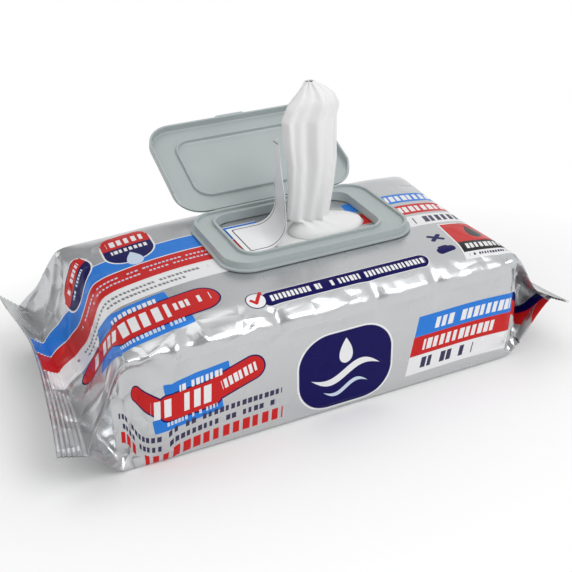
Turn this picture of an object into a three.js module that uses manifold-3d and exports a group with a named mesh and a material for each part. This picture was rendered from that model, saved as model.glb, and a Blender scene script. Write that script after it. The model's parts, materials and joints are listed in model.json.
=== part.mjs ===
import * as THREE from 'three';
import { mergeVertices } from 'three/addons/utils/BufferGeometryUtils.js';
import Module from 'manifold-3d';

// A flow-wrapped pack of wet wipes with a moulded flip lid, standing open.
// Millimetres, +Z up. X runs along the pack, and the lid opens towards +Y.
// The origin is the middle of the flat underside.

const wasm = await Module();
wasm.setup();

const { clamp, lerp, smoothstep, degToRad } = THREE.MathUtils;

// Wrapped body
const BODY_LENGTH = 190;
const BODY_WIDTH = 110;
const BODY_HEIGHT = 54.8;
const CROWN = 6.7;
const CROWN_FALL_LEFT = 55;
const CROWN_FALL_RIGHT = 42;
const FILM_WALL = 0.6;
const TOP_EDGE_RADIUS = 6;
const BOTTOM_EDGE_RADIUS = 3.5;
const SIDE_BULGE = 1.2;

// Folded ends
const SEAL_REACH = 110.5;
const SEAL_BOW = 4;
const LEFT_SEAL_HALF_LENGTH = 66;
const RIGHT_SEAL_HALF_LENGTH = 62;
const SEAL_THICKNESS = 1.4;
const LEFT_SHOULDER_MIDDLE = 80;
const LEFT_SHOULDER_EDGE = 90;
const RIGHT_SHOULDER_MIDDLE = 87;
const RIGHT_SHOULDER_EDGE = 92.5;
const UNDERSIDE_MIDDLE = 88;
const UNDERSIDE_EDGE = 97;
const LEFT_SEAL_HEIGHT = 22;
const RIGHT_SEAL_HEIGHT = 32;

// Crimped fins
const FIN_WIDTH = 12.5;
const RIGHT_FIN_DROOP = 28;
const FIN_RIDGES = 6;
const FIN_RIDGE_HEIGHT = 0.45;
const FIN_THICKNESS = 1.2;
const FIN_OVERLAP = 1.5;
const FIN_ROOT_THICKNESS = 2;

// Lapped seal along the underside
const LAP_WIDTH = 12;
const LAP_STEP = 0.5;
const LAP_FADE = 30;

// Dents under the front top edge, along X
const FRONT_DENTS = [-58, -12, 36, 72];
const DENT_DEPTH = 1.8;
const DENT_SPREAD = 11;

// Mouth cut in the top film
const MOUTH_LENGTH = 57.5;
const MOUTH_WIDTH = 28;
const MOUTH_X = 17.75;
const MOUTH_Y = 5;

// Moulded frame round the mouth
const FRAME_LENGTH = 97.5;
const FRAME_DEPTH = 61.3;
const FRAME_CORNER = 14;
const FRAME_X = 14;
const FRAME_Y = 7.35;
const WINDOW_LENGTH = 71;
const WINDOW_DEPTH = 43;
const WINDOW_CORNER = 6.5;
const WINDOW_X = 12.5;
const WINDOW_Y = 8;
const FLANGE_WIDTH = 1.7;
const FLANGE_THICKNESS = 0.9;
const FRAME_WALL = 1.3;
const DECK_HEIGHT = 2.9;
const BEAD_HEIGHT = 4.2;

// Flip lid
const LID_WALL = 1.2;
const LID_SKIRT_LIFT = 0.4;
const LID_HEIGHT = 6.6;
const LID_PANEL_RISE = 0.9;
const LID_OPEN_ANGLE = 158;
const PLUG_DEPTH = 1.7;
const THUMB_TAB_WIDTH = 17;
const THUMB_TAB_REACH = 0.8;
const HINGE_LENGTH = 64;
const HINGE_THICKNESS = 0.8;

// Resealable label
const LABEL_LENGTH = 64;
const LABEL_WIDTH = 28;
const LABEL_TIP_WIDTH = 16;
const LABEL_THICKNESS = 0.4;
const LABEL_LEFT = -19;
const LABEL_Y = 7.5;
const LABEL_PEEL_X = -6.5;
const LABEL_PEEL_TURN = 14;
const LABEL_CURL_RADIUS = 10.5;
const LABEL_RISE_ANGLE = 90;

// Pulled wipe
const WIPE_TOP = 134;
const WIPE_BASE_LENGTH = 38;
const WIPE_BASE_WIDTH = 23.4;
const WIPE_BASE_X = 26.3;
const WIPE_DOME_HEIGHT = 5.2;
const WIPE_PLEATS = 5;
const WIPE_PLEAT_DEPTH = 0.22;

// Gap between pieces that touch
const SEAT = 0.35;

const FRAME_SEAT = BODY_HEIGHT + CROWN + SEAT;
const HINGE_Y = FRAME_Y + FRAME_DEPTH / 2;
const HINGE_Z = FRAME_SEAT + BEAD_HEIGHT;

// A closed body from positions and triangles, turned so that its faces point out
function closedBody(points, triangles) {
  let volume = 0;
  for (const [a, b, c] of triangles) {
    volume += points[a].dot(new THREE.Vector3().crossVectors(points[b], points[c]));
  }
  const faces = volume < 0 ? triangles.map(([a, b, c]) => [a, c, b]) : triangles;
  const geometry = new THREE.BufferGeometry();
  geometry.setAttribute('position', new THREE.Float32BufferAttribute(points.flatMap((p) => p.toArray()), 3));
  geometry.setIndex(faces.flat());
  return geometry;
}

// Triangles of the band between two neighbouring loops of equal count
function bandTriangles(first, second, count) {
  const triangles = [];
  for (let i = 0; i < count; i += 1) {
    const next = (i + 1) % count;
    triangles.push([first + i, first + next, second + next], [first + i, second + next, second + i]);
  }
  return triangles;
}

// A solid through closed loops, with flat fans from the middle of the end loops
function loftLoops(loops) {
  const count = loops[0].length;
  const points = loops.flat();
  const triangles = [];
  for (let row = 0; row + 1 < loops.length; row += 1) {
    triangles.push(...bandTriangles(row * count, (row + 1) * count, count));
  }
  const last = (loops.length - 1) * count;
  for (const [start, turned] of [[0, true], [last, false]]) {
    const middle = new THREE.Vector3();
    for (let i = 0; i < count; i += 1) middle.addScaledVector(points[start + i], 1 / count);
    points.push(middle);
    for (let i = 0; i < count; i += 1) {
      const next = (i + 1) % count;
      const pair = turned ? [start + next, start + i] : [start + i, start + next];
      triangles.push([...pair, points.length - 1]);
    }
  }
  return closedBody(points, triangles);
}

// A solid through loops whose last loop joins the first, as in a frame
function loftRing(loops) {
  const count = loops[0].length;
  const triangles = [];
  for (let row = 0; row < loops.length; row += 1) {
    triangles.push(...bandTriangles(row * count, ((row + 1) % loops.length) * count, count));
  }
  return closedBody(loops.flat(), triangles);
}

// Solid for cutting and joining
function toManifold(geometry) {
  const bare = geometry.clone();
  bare.deleteAttribute('normal');
  bare.deleteAttribute('uv');
  const merged = mergeVertices(bare, 1e-4);
  const mesh = new wasm.Mesh({
    numProp: 3,
    vertProperties: new Float32Array(merged.attributes.position.array),
    triVerts: new Uint32Array(merged.index.array),
  });
  return new wasm.Manifold(mesh);
}

function fromManifold(solid) {
  const mesh = solid.getMesh();
  const geometry = new THREE.BufferGeometry();
  geometry.setAttribute('position', new THREE.BufferAttribute(new Float32Array(mesh.vertProperties), 3));
  geometry.setIndex(new THREE.BufferAttribute(new Uint32Array(mesh.triVerts), 1));
  return geometry;
}

// Share of the crown at a distance outside the flat that carries the frame
function crownShare(value, low, high, fallLow, fallHigh) {
  const outside = value < low ? (low - value) / fallLow : (value - high) / fallHigh;
  return 1 - clamp(outside, 0, 1) ** 2;
}

function crownHeight(x, y) {
  const alongX = crownShare(
    x, FRAME_X - FRAME_LENGTH / 2 - 1, FRAME_X + FRAME_LENGTH / 2 + 1, CROWN_FALL_LEFT, CROWN_FALL_RIGHT);
  const front = FRAME_Y - FRAME_DEPTH / 2 - 1;
  const back = FRAME_Y + FRAME_DEPTH / 2 + 1;
  const alongY = crownShare(y, front, back, BODY_WIDTH / 2 + front, BODY_WIDTH / 2 - back);
  return CROWN * alongX * alongY;
}

// How far the top film has come down towards the seal: round at the shoulder, then a flare
function shoulderFall(share) {
  return 0.66 * smoothstep(share, 0.2, 0.75) + 0.34 * share ** 1.6;
}

function undersideRise(share) {
  return 0.45 * smoothstep(share, 0, 1) + 0.55 * share ** 1.4;
}

function sealAt(side) {
  return side < 0
    ? { sealHeight: LEFT_SEAL_HEIGHT, sealHalf: LEFT_SEAL_HALF_LENGTH }
    : { sealHeight: RIGHT_SEAL_HEIGHT, sealHalf: RIGHT_SEAL_HALF_LENGTH };
}

// What holds at one place along the pack, on the left or the right end
function stationAt(x) {
  const reach = Math.abs(x);
  const fold = clamp((reach - BODY_LENGTH / 2) / (SEAL_REACH - BODY_LENGTH / 2), 0, 1);
  const end = x < 0
    ? { shoulder: [LEFT_SHOULDER_MIDDLE, LEFT_SHOULDER_EDGE], ...sealAt(-1) }
    : { shoulder: [RIGHT_SHOULDER_MIDDLE, RIGHT_SHOULDER_EDGE], ...sealAt(1) };
  return { x, reach, fold, ...end };
}

function topHeight(station, y) {
  const side = clamp(Math.abs(y) / (BODY_WIDTH / 2), 0, 1) ** 2;
  const start = lerp(...station.shoulder, side);
  const share = clamp((station.reach - start) / (SEAL_REACH - start), 0, 1);
  const body = BODY_HEIGHT + crownHeight(station.x, y);
  return lerp(body, station.sealHeight + SEAL_THICKNESS / 2, shoulderFall(share));
}

function undersideHeight(station, y) {
  const side = clamp(Math.abs(y) / (BODY_WIDTH / 2), 0, 1) ** 2;
  const start = lerp(UNDERSIDE_MIDDLE, UNDERSIDE_EDGE, side);
  const share = clamp((station.reach - start) / (SEAL_REACH - start), 0, 1);
  const beside = Math.abs(y) - LAP_WIDTH / 2;
  const step = beside > 0 ? LAP_STEP * (1 - smoothstep(beside, 0, LAP_FADE)) : 0;
  return lerp(step, station.sealHeight - SEAL_THICKNESS / 2, undersideRise(share));
}

// A corner rounded by a short curve between its two runs
function roundedCorner(before, corner, after, radius, segments) {
  const toBefore = before.clone().sub(corner);
  const toAfter = after.clone().sub(corner);
  const turn = Math.PI - toBefore.angleTo(toAfter);
  const room = 0.42 * Math.min(toBefore.length(), toAfter.length());
  const tangent = Math.min(Math.max(radius * Math.tan(turn / 2), 0.3), room);
  const start = corner.clone().addScaledVector(toBefore.normalize(), tangent);
  const end = corner.clone().addScaledVector(toAfter.normalize(), tangent);
  return new THREE.QuadraticBezierCurve(start, corner, end).getPoints(segments);
}

// The side panel: an upright middle, with a flap above and below that folds in as the end closes
function sidePanel(station) {
  const { fold, sealHalf } = station;
  const width = lerp(BODY_WIDTH / 2, sealHalf, fold);
  const top = topHeight(station, width);
  const bottom = undersideHeight(station, width);
  const half = (top - bottom) / 2;
  const upright = (0.8 - 0.35 * fold) * half;
  const flap = BODY_HEIGHT / 2 - (sealHalf - BODY_WIDTH / 2) * fold - upright;
  const tuck = Math.sqrt(Math.max(flap ** 2 - (half - upright) ** 2, 0));
  const bulge = SIDE_BULGE * (1 - fold);
  return { width, middle: (top + bottom) / 2, upright, bulge, inner: width - tuck + bulge };
}

// Half of a cross-section, from the underside's middle round the +Y side to the top's middle.
// The side panel tucks in between the top and bottom panels. A hollow stays inside it.
function halfSection(station, nearer, inset, tucked) {
  const { fold } = station;
  const { width, middle, upright, bulge, inner: side } = sidePanel(station);
  const inner = Math.min(side, sidePanel(nearer).inner) - inset;
  const outer = tucked ? width - inset : inner - bulge;
  const bottomCorner = new THREE.Vector2(outer, undersideHeight(station, outer) + inset);
  const topCorner = new THREE.Vector2(outer, topHeight(station, outer) - inset);
  const lower = new THREE.Vector2(inner, middle - upright);
  const upper = new THREE.Vector2(inner, middle + upright);
  const sharp = 1 - smoothstep(fold, 0, 0.35);
  const bottomRun = [0, LAP_WIDTH / 2, LAP_WIDTH / 2 + 0.6, 0.4 * outer, 0.72 * outer]
    .map((y) => new THREE.Vector2(y, undersideHeight(station, y) + inset));
  const topRun = [0.93, 0.82, 0.68, 0.5, 0.33, 0.16, 0]
    .map((share) => new THREE.Vector2(share * outer, topHeight(station, share * outer) - inset));
  const bottomRadius = Math.max(lerp(0.8, BOTTOM_EDGE_RADIUS, sharp) - inset, 0.3);
  const topRadius = Math.max(lerp(0.8, TOP_EDGE_RADIUS, sharp) - inset, 0.3);
  const segments = tucked ? 3 : 2;
  return [
    ...bottomRun,
    ...roundedCorner(bottomRun.at(-1), bottomCorner, lower, bottomRadius, segments),
    ...roundedCorner(bottomCorner, lower, upper, 4, segments - 1),
    ...roundedCorner(lower, upper, topCorner, 4, segments - 1),
    ...roundedCorner(upper, topCorner, topRun[0], topRadius, segments),
    ...topRun,
  ];
}

// Dents press the film in just under the front top edge
function dentAt(x, y, z) {
  const near = FRONT_DENTS.reduce((sum, place) => sum + Math.exp(-(((x - place) / DENT_SPREAD) ** 2)), 0);
  const low = smoothstep(z, BODY_HEIGHT * 0.62, BODY_HEIGHT * 0.86);
  const front = smoothstep(-y, BODY_WIDTH / 2 - 12, BODY_WIDTH / 2 - 3);
  return DENT_DEPTH * near * low * front;
}

// The whole loop, with the far ends of the seal bowed outwards
function sectionLoop(x, inset, tucked) {
  const station = stationAt(x + 2 * inset * Math.sign(x));
  const half = halfSection(station, stationAt(x), inset, tucked);
  const mirrored = half.slice(1, -1).reverse().map((p) => new THREE.Vector2(-p.x, p.y));
  return [...half, ...mirrored].map((p) => {
    const bow = SEAL_BOW * station.fold * (p.x / station.sealHalf) ** 2 * Math.sign(x);
    const dent = dentAt(x, p.x, p.y);
    return new THREE.Vector3(x + bow, p.x + dent, p.y - 0.5 * dent);
  });
}

function bodyStations() {
  const half = BODY_LENGTH / 2;
  const left = [1, 0.97, 0.93, 0.88, 0.8, 0.7, 0.61, 0.5].map((share) => -share * half);
  const right = [0.68, 0.76, 0.84, 0.9, 0.94, 0.97, 1].map((share) => share * half);
  const frameLeft = FRAME_X - FRAME_LENGTH / 2 - 1;
  const frameRight = FRAME_X + FRAME_LENGTH / 2 + 1;
  const middle = [0, 0.12, 0.25, 0.37, 0.5, 0.62, 0.74, 0.87, 1].map((share) => lerp(frameLeft, frameRight, share));
  return [...left, ...middle, ...right].filter((x, i, all) => i === 0 || x > all[i - 1] + 1);
}

function endStations(shares) {
  return shares.map((share) => lerp(BODY_LENGTH / 2, SEAL_REACH, share));
}

// Ridged fin at one end, as sections across it that follow one another along Y
function finTilt(side, y) {
  if (side > 0) return degToRad(-RIGHT_FIN_DROOP + 5 * Math.sin(y / 17));
  const raised = smoothstep(y, -LEFT_SEAL_HALF_LENGTH, -0.1 * LEFT_SEAL_HALF_LENGTH);
  return degToRad(lerp(16, 38, raised) + 4 * Math.sin(y / 11));
}

function finLoop(side, y) {
  const tilt = finTilt(side, y);
  const { sealHeight, sealHalf } = sealAt(side);
  const start = SEAL_REACH + SEAL_BOW * (y / sealHalf) ** 2;
  const upper = [];
  const lower = [];
  const steps = FIN_RIDGES * 2;
  for (let i = 0; i <= steps; i += 1) {
    const out = lerp(-FIN_OVERLAP, FIN_WIDTH, i / steps);
    const ridge = out < 0 ? 0 : FIN_RIDGE_HEIGHT * (i % 2 === 0 ? -0.5 : 0.5);
    const half = (out < 0 ? FIN_ROOT_THICKNESS : FIN_THICKNESS) / 2;
    const run = Math.max(out, 0) * Math.cos(tilt) + Math.min(out, 0);
    const rise = Math.max(out, 0) * Math.sin(tilt);
    const x = side * (start + run);
    const z = sealHeight + rise + ridge;
    upper.push(new THREE.Vector3(x, y, z + half));
    lower.unshift(new THREE.Vector3(x, y, z - half));
  }
  return [...upper, ...lower];
}

function endFin(side) {
  const rows = 15;
  const { sealHalf } = sealAt(side);
  const loops = [];
  for (let i = 0; i < rows; i += 1) {
    loops.push(finLoop(side, lerp(-sealHalf, sealHalf, i / (rows - 1))));
  }
  return loftLoops(loops);
}

function mouthCutter() {
  const outline = new THREE.Shape();
  outline.absellipse(MOUTH_X, MOUTH_Y, MOUTH_LENGTH / 2, MOUTH_WIDTH / 2, 0, Math.PI * 2);
  const cutter = new THREE.ExtrudeGeometry(outline, { depth: BODY_HEIGHT, bevelEnabled: false, curveSegments: 16 });
  return cutter.translate(0, 0, BODY_HEIGHT * 0.6);
}

function filmPouch() {
  const body = bodyStations();
  const ends = endStations([0.06, 0.15, 0.28, 0.42, 0.58, 0.74, 0.88, 1]);
  const outside = [...ends.map((x) => -x).reverse(), ...body, ...ends];
  const shell = toManifold(loftLoops(outside.map((x) => sectionLoop(x, 0, true))));
  const insideEnds = endStations([0.15, 0.28, 0.42, 0.55]);
  const inside = [...insideEnds.map((x) => -x).reverse(), ...body, ...insideEnds];
  const hollow = toManifold(loftLoops(inside.map((x) => sectionLoop(x, FILM_WALL, false))));
  const joined = shell.add(toManifold(endFin(-1))).add(toManifold(endFin(1)));
  return fromManifold(joined.subtract(hollow).subtract(toManifold(mouthCutter())));
}

// The folded wipes fill the film, a seat's gap inside it
function wipeStack() {
  const reach = BODY_LENGTH / 2 - 2;
  const stations = bodyStations().filter((x) => Math.abs(x) < reach);
  return loftLoops(stations.map((x) => sectionLoop(x, FILM_WALL + SEAT, false)));
}

// Outline between the frame's outer edge (share 0) and its window (share 1), at one height
function frameLoop(share, z) {
  const halfLength = lerp(FRAME_LENGTH, WINDOW_LENGTH, share) / 2;
  const halfDepth = lerp(FRAME_DEPTH, WINDOW_DEPTH, share) / 2;
  const radius = lerp(FRAME_CORNER, WINDOW_CORNER, share);
  const middleX = lerp(FRAME_X, WINDOW_X, share);
  const middleY = lerp(FRAME_Y, WINDOW_Y, share);
  const loop = [];
  const segments = 6;
  for (let corner = 0; corner < 4; corner += 1) {
    const signX = corner === 0 || corner === 3 ? 1 : -1;
    const signY = corner < 2 ? 1 : -1;
    for (let i = 0; i <= segments; i += 1) {
      const angle = ((corner + i / segments) * Math.PI) / 2;
      const x = middleX + signX * (halfLength - radius) + radius * Math.cos(angle);
      const y = middleY + signY * (halfDepth - radius) + radius * Math.sin(angle);
      loop.push(new THREE.Vector3(x, y, FRAME_SEAT + z));
    }
  }
  return loop;
}

// Distance in from the frame's front edge, as a share of the way to the window
function inFromEdge(distance) {
  return distance / ((FRAME_DEPTH - WINDOW_DEPTH) / 2);
}

function lidFrame() {
  const bead = FLANGE_WIDTH + FRAME_WALL;
  const profile = [
    [0, 0], [0, FLANGE_THICKNESS], [FLANGE_WIDTH, FLANGE_THICKNESS],
    [FLANGE_WIDTH, BEAD_HEIGHT - 0.4], [FLANGE_WIDTH + 0.4, BEAD_HEIGHT], [bead - 0.4, BEAD_HEIGHT],
    [bead, BEAD_HEIGHT - 0.4], [bead + 0.3, DECK_HEIGHT],
  ];
  const rail = (FRAME_DEPTH - WINDOW_DEPTH) / 2;
  const lip = [
    [rail - FRAME_WALL - 0.3, DECK_HEIGHT], [rail - FRAME_WALL, BEAD_HEIGHT],
    [rail - FRAME_WALL / 2, BEAD_HEIGHT + 0.25], [rail - 0.1, BEAD_HEIGHT], [rail, BEAD_HEIGHT - 0.4], [rail, 0],
    [rail - FRAME_WALL, 0], [rail - FRAME_WALL, DECK_HEIGHT - FRAME_WALL],
    [bead, DECK_HEIGHT - FRAME_WALL], [bead, 0],
  ];
  const loops = [...profile, ...lip].map(([inwards, z]) => frameLoop(inFromEdge(inwards), z));
  const ledge = new THREE.BoxGeometry(HINGE_LENGTH, FLANGE_WIDTH + 0.3, HINGE_THICKNESS);
  ledge.translate(FRAME_X, HINGE_Y - SEAT - (FLANGE_WIDTH + 0.3) / 2, HINGE_Z - 0.4 - HINGE_THICKNESS / 2);
  return fromManifold(toManifold(loftRing(loops)).add(toManifold(ledge)));
}

// The lid, modelled shut: a shallow tray turned over the frame
function lidShell() {
  const rail = (FRAME_DEPTH - WINDOW_DEPTH) / 2;
  const skirtFoot = FLANGE_THICKNESS + LID_SKIRT_LIFT;
  const underPlate = LID_HEIGHT - LID_WALL;
  const plug = rail + 0.7;
  const outside = [
    [rail + 0.6, LID_HEIGHT + LID_PANEL_RISE], [rail - 1, LID_HEIGHT], [1.5, LID_HEIGHT],
    [0.5, LID_HEIGHT - 0.4], [0.1, LID_HEIGHT - 1.4], [0.1, skirtFoot],
  ];
  const inside = [
    [1.2, skirtFoot], [1.2, underPlate - 0.6], [1.8, underPlate], [plug, underPlate],
    [plug, underPlate - PLUG_DEPTH], [plug + 1, underPlate - PLUG_DEPTH],
    [plug + 1, underPlate], [rail + 2.4, underPlate + LID_PANEL_RISE],
  ];
  return loftLoops([...outside, ...inside].map(([inwards, z]) => frameLoop(inFromEdge(inwards), z)));
}

// Clears the skirt beside the hinge, rising towards the back
function hingeRelief() {
  const foot = FRAME_SEAT - 1;
  const outline = new THREE.Shape([
    new THREE.Vector2(HINGE_Y - 17, foot), new THREE.Vector2(HINGE_Y + 2, foot),
    new THREE.Vector2(HINGE_Y + 2, HINGE_Z + 0.35), new THREE.Vector2(HINGE_Y - 8, HINGE_Z + 0.35),
    new THREE.Vector2(HINGE_Y - 15, FRAME_SEAT + FLANGE_THICKNESS + LID_SKIRT_LIFT - 0.1),
  ]);
  const relief = new THREE.ExtrudeGeometry(outline, { depth: FRAME_LENGTH + 4, bevelEnabled: false });
  relief.rotateY(Math.PI / 2).rotateX(Math.PI / 2);
  return relief.translate(FRAME_X - FRAME_LENGTH / 2 - 2, 0, 0);
}

function thumbTab() {
  const half = THUMB_TAB_WIDTH / 2;
  const outline = new THREE.Shape();
  outline.moveTo(-half, 0.6);
  outline.lineTo(-half, 0);
  outline.quadraticCurveTo(-half + 1, -THUMB_TAB_REACH, -half + 3.5, -THUMB_TAB_REACH);
  outline.lineTo(half - 3.5, -THUMB_TAB_REACH);
  outline.quadraticCurveTo(half - 1, -THUMB_TAB_REACH, half, 0);
  outline.lineTo(half, 0.6);
  const tab = new THREE.ExtrudeGeometry(outline, { depth: 1.1, bevelEnabled: false, curveSegments: 4 });
  const foot = FRAME_SEAT + FLANGE_THICKNESS + LID_SKIRT_LIFT;
  return tab.translate(FRAME_X, FRAME_Y - FRAME_DEPTH / 2 + 0.1, foot);
}

function flipLid() {
  const lid = toManifold(lidShell()).subtract(toManifold(hingeRelief())).add(toManifold(thumbTab()));
  return fromManifold(lid).translate(0, -HINGE_Y, -HINGE_Z);
}

// Where a point of the flat label goes when its free end is peeled up round a slanted line
function labelPoint(along, across, lift) {
  const turn = degToRad(LABEL_PEEL_TURN);
  const line = new THREE.Vector2(Math.sin(turn), Math.cos(turn));
  const ahead = new THREE.Vector2(Math.cos(turn), -Math.sin(turn));
  const flat = new THREE.Vector2(LABEL_LEFT + along - LABEL_PEEL_X, across);
  const past = flat.dot(ahead);
  const side = flat.dot(line);
  const fullTurn = degToRad(LABEL_RISE_ANGLE);
  const angle = clamp(past / LABEL_CURL_RADIUS, 0, fullTurn);
  const straight = Math.max(past - LABEL_CURL_RADIUS * fullTurn, 0);
  const radius = LABEL_CURL_RADIUS - lift;
  const run = Math.min(past, 0) + radius * Math.sin(angle) + straight * Math.cos(angle);
  const rise = lift + radius * (1 - Math.cos(angle)) + straight * Math.sin(angle);
  return new THREE.Vector3(
    LABEL_PEEL_X + line.x * side + ahead.x * run,
    LABEL_Y + line.y * side + ahead.y * run,
    FRAME_SEAT + rise);
}

function labelHalfWidth(along) {
  const taper = smoothstep(along, 0.55 * LABEL_LENGTH, 0.85 * LABEL_LENGTH);
  const tip = clamp((along - 0.9 * LABEL_LENGTH) / (0.1 * LABEL_LENGTH), 0, 1);
  return (lerp(LABEL_WIDTH, LABEL_TIP_WIDTH, taper) / 2) * (1 - 0.45 * tip ** 2);
}

function peelLabel() {
  const loops = [];
  const rows = 26;
  for (let row = 0; row <= rows; row += 1) {
    const along = (LABEL_LENGTH * row) / rows;
    const half = labelHalfWidth(along);
    const under = [-1, -0.5, 0, 0.5, 1].map((share) => labelPoint(along, share * half, 0));
    const over = [1, 0.5, 0, -0.5, -1].map((share) => labelPoint(along, share * half, LABEL_THICKNESS));
    loops.push([...under, ...over]);
  }
  return loftLoops(loops);
}

// Middle and half sizes of the pulled wipe at a height above the stack
function wipeShape(height) {
  const total = WIPE_TOP - wipeFoot();
  const share = height / total;
  const column = smoothstep(height, 0.35 * WIPE_DOME_HEIGHT, 1.6 * WIPE_DOME_HEIGHT);
  const dome = Math.sqrt(Math.max(1 - (height / (1.25 * WIPE_DOME_HEIGHT)) ** 2, 0));
  const tip = smoothstep(share, 0.82, 1);
  const columnHalf = lerp(11.2, 13.5, smoothstep(share, 0.4, 0.75)) * (1 - 0.86 * tip);
  const columnDepth = lerp(4.6, 5.6, smoothstep(share, 0, 0.6)) * (1 - 0.6 * tip);
  return {
    x: lerp(WIPE_BASE_X, 19.4 - 1.1 * smoothstep(share, 0.4, 0.75) + 1.6 * tip, column),
    y: lerp(MOUTH_Y, 6, column),
    halfLength: lerp((WIPE_BASE_LENGTH / 2) * Math.max(dome, 0.2), columnHalf, column),
    halfWidth: lerp((WIPE_BASE_WIDTH / 2) * Math.max(dome, 0.2), columnDepth, column),
    pleat: WIPE_PLEAT_DEPTH * column,
  };
}

function wipeFoot() {
  return BODY_HEIGHT + CROWN - FILM_WALL;
}

function pulledWipe() {
  const total = WIPE_TOP - wipeFoot();
  const dome = [0, 0.25, 0.5, 0.73, 0.96, 1.25, 1.73].map((share) => share * WIPE_DOME_HEIGHT);
  const column = [0.19, 0.3, 0.42, 0.55, 0.67, 0.77, 0.85, 0.91, 0.96, 0.99].map((share) => share * total);
  const heights = [...dome, ...column];
  const count = 30;
  const loops = heights.map((height) => {
    const shape = wipeShape(height);
    const loop = [];
    for (let i = 0; i < count; i += 1) {
      const angle = (i / count) * Math.PI * 2;
      const wave = 1 + shape.pleat * Math.cos(WIPE_PLEATS * angle + 0.02 * height);
      loop.push(new THREE.Vector3(
        shape.x + shape.halfLength * Math.cos(angle),
        shape.y + shape.halfWidth * wave * Math.sin(angle),
        wipeFoot() + height));
    }
    return loop;
  });
  return loftLoops(loops);
}

// Finishes
const film = new THREE.MeshStandardMaterial({ color: 0xb4b5b9, roughness: 0.34, metalness: 0.75 });
const greyPlastic = new THREE.MeshStandardMaterial({ color: 0xb3bbbb, roughness: 0.42, metalness: 0 });
const labelFilm = new THREE.MeshStandardMaterial({ color: 0xf6f6f6, roughness: 0.3, metalness: 0 });
const cloth = new THREE.MeshStandardMaterial({ color: 0xf7f7f7, roughness: 0.95, metalness: 0 });

function piece(name, geometry, material) {
  const mesh = new THREE.Mesh(geometry, material);
  mesh.name = name;
  return mesh;
}

// The lid turns about the hinge line at the back of the frame
const lidPivot = new THREE.Group();
lidPivot.position.set(0, HINGE_Y, HINGE_Z);
lidPivot.rotation.x = degToRad(-LID_OPEN_ANGLE);
lidPivot.add(piece('flip_lid', flipLid(), greyPlastic));

const pack = new THREE.Group();
pack.add(piece('film_pouch', filmPouch(), film));
pack.add(piece('wipe_stack', wipeStack(), cloth));
pack.add(piece('pulled_wipe', pulledWipe(), cloth));
pack.add(piece('peel_label', peelLabel(), labelFilm));
pack.add(piece('lid_frame', lidFrame(), greyPlastic));
pack.add(lidPivot);

export default pack;
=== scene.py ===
import json
import math

import bmesh
import bpy
import numpy as np
from bpy.props import FloatProperty, FloatVectorProperty, PointerProperty
from mathutils import Matrix, Vector


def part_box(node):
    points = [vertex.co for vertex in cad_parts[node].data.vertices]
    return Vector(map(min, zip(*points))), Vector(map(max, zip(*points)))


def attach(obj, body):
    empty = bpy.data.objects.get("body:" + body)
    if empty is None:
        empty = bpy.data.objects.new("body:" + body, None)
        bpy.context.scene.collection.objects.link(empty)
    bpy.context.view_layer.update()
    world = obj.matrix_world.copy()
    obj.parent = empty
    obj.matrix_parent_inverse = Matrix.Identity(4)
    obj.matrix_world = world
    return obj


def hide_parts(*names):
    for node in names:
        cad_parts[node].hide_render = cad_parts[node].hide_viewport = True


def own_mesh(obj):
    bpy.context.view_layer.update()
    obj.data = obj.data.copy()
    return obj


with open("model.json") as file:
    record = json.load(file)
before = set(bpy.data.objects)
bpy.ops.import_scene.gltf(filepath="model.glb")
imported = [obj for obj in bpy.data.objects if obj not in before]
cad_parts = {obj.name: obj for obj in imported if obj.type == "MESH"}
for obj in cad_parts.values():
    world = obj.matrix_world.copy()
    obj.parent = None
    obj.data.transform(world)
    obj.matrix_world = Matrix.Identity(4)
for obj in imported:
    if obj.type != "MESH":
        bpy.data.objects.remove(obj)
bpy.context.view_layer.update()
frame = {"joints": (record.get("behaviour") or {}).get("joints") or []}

# The looks of a flow-wrapped pack of wet wipes with a flip lid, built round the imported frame.
# Metres. X runs along the pack, +Z is up, and the lid opens towards +Y.

bl_info = {
    "name": "Wet wipes pack",
    "version": (1, 0, 0),
    "blender": (4, 5, 0),
    "location": "3D View > Sidebar > Wipes pack",
    "description": "Builds the film, label, wipe, frame and lid of a wet wipes pack",
    "category": "Add Mesh",
}

FRAME_LOW, FRAME_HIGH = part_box("lid_frame")
LID_HINGE = frame["joints"][0]

# Wrapped body, as in the solids
BODY_LENGTH = 0.190
BODY_WIDTH = 0.110
BODY_HEIGHT = 0.0548
CROWN = 0.0067
CROWN_FALL_LEFT = 0.055
CROWN_FALL_RIGHT = 0.042
CROWN_MARGIN = 0.001
TOP_EDGE_RADIUS = 0.006
BOTTOM_EDGE_RADIUS = 0.0035
FOLDED_EDGE_RADIUS = 0.0008
TUCK_RADIUS = 0.004
SIDE_BULGE = 0.0012
PANEL_PULL = 0.0045
SEAL_REACH = 0.1105
SEAL_BOW = 0.004
LEFT_SEAL_HALF_LENGTH = 0.066
RIGHT_SEAL_HALF_LENGTH = 0.062
SEAL_THICKNESS = 0.0014
LEFT_SHOULDER_MIDDLE = 0.080
LEFT_SHOULDER_EDGE = 0.090
RIGHT_SHOULDER_MIDDLE = 0.087
RIGHT_SHOULDER_EDGE = 0.0925
UNDERSIDE_MIDDLE = 0.088
UNDERSIDE_EDGE = 0.097
LEFT_SEAL_HEIGHT = 0.022
RIGHT_SEAL_HEIGHT = 0.032
LAP_WIDTH = 0.012
LAP_STEP = 0.0005
LAP_FADE = 0.030

# Crimped fins
FIN_WIDTH = 0.0125
RIGHT_FIN_DROOP = 28
FIN_RIDGES = 6
FIN_RIDGE_HEIGHT = 0.00045
FIN_THICKNESS = 0.0009

# Mouth cut in the top film
MOUTH_LENGTH = 0.0575
MOUTH_WIDTH = 0.028
MOUTH_X = 0.01775
MOUTH_Y = 0.005

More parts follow.
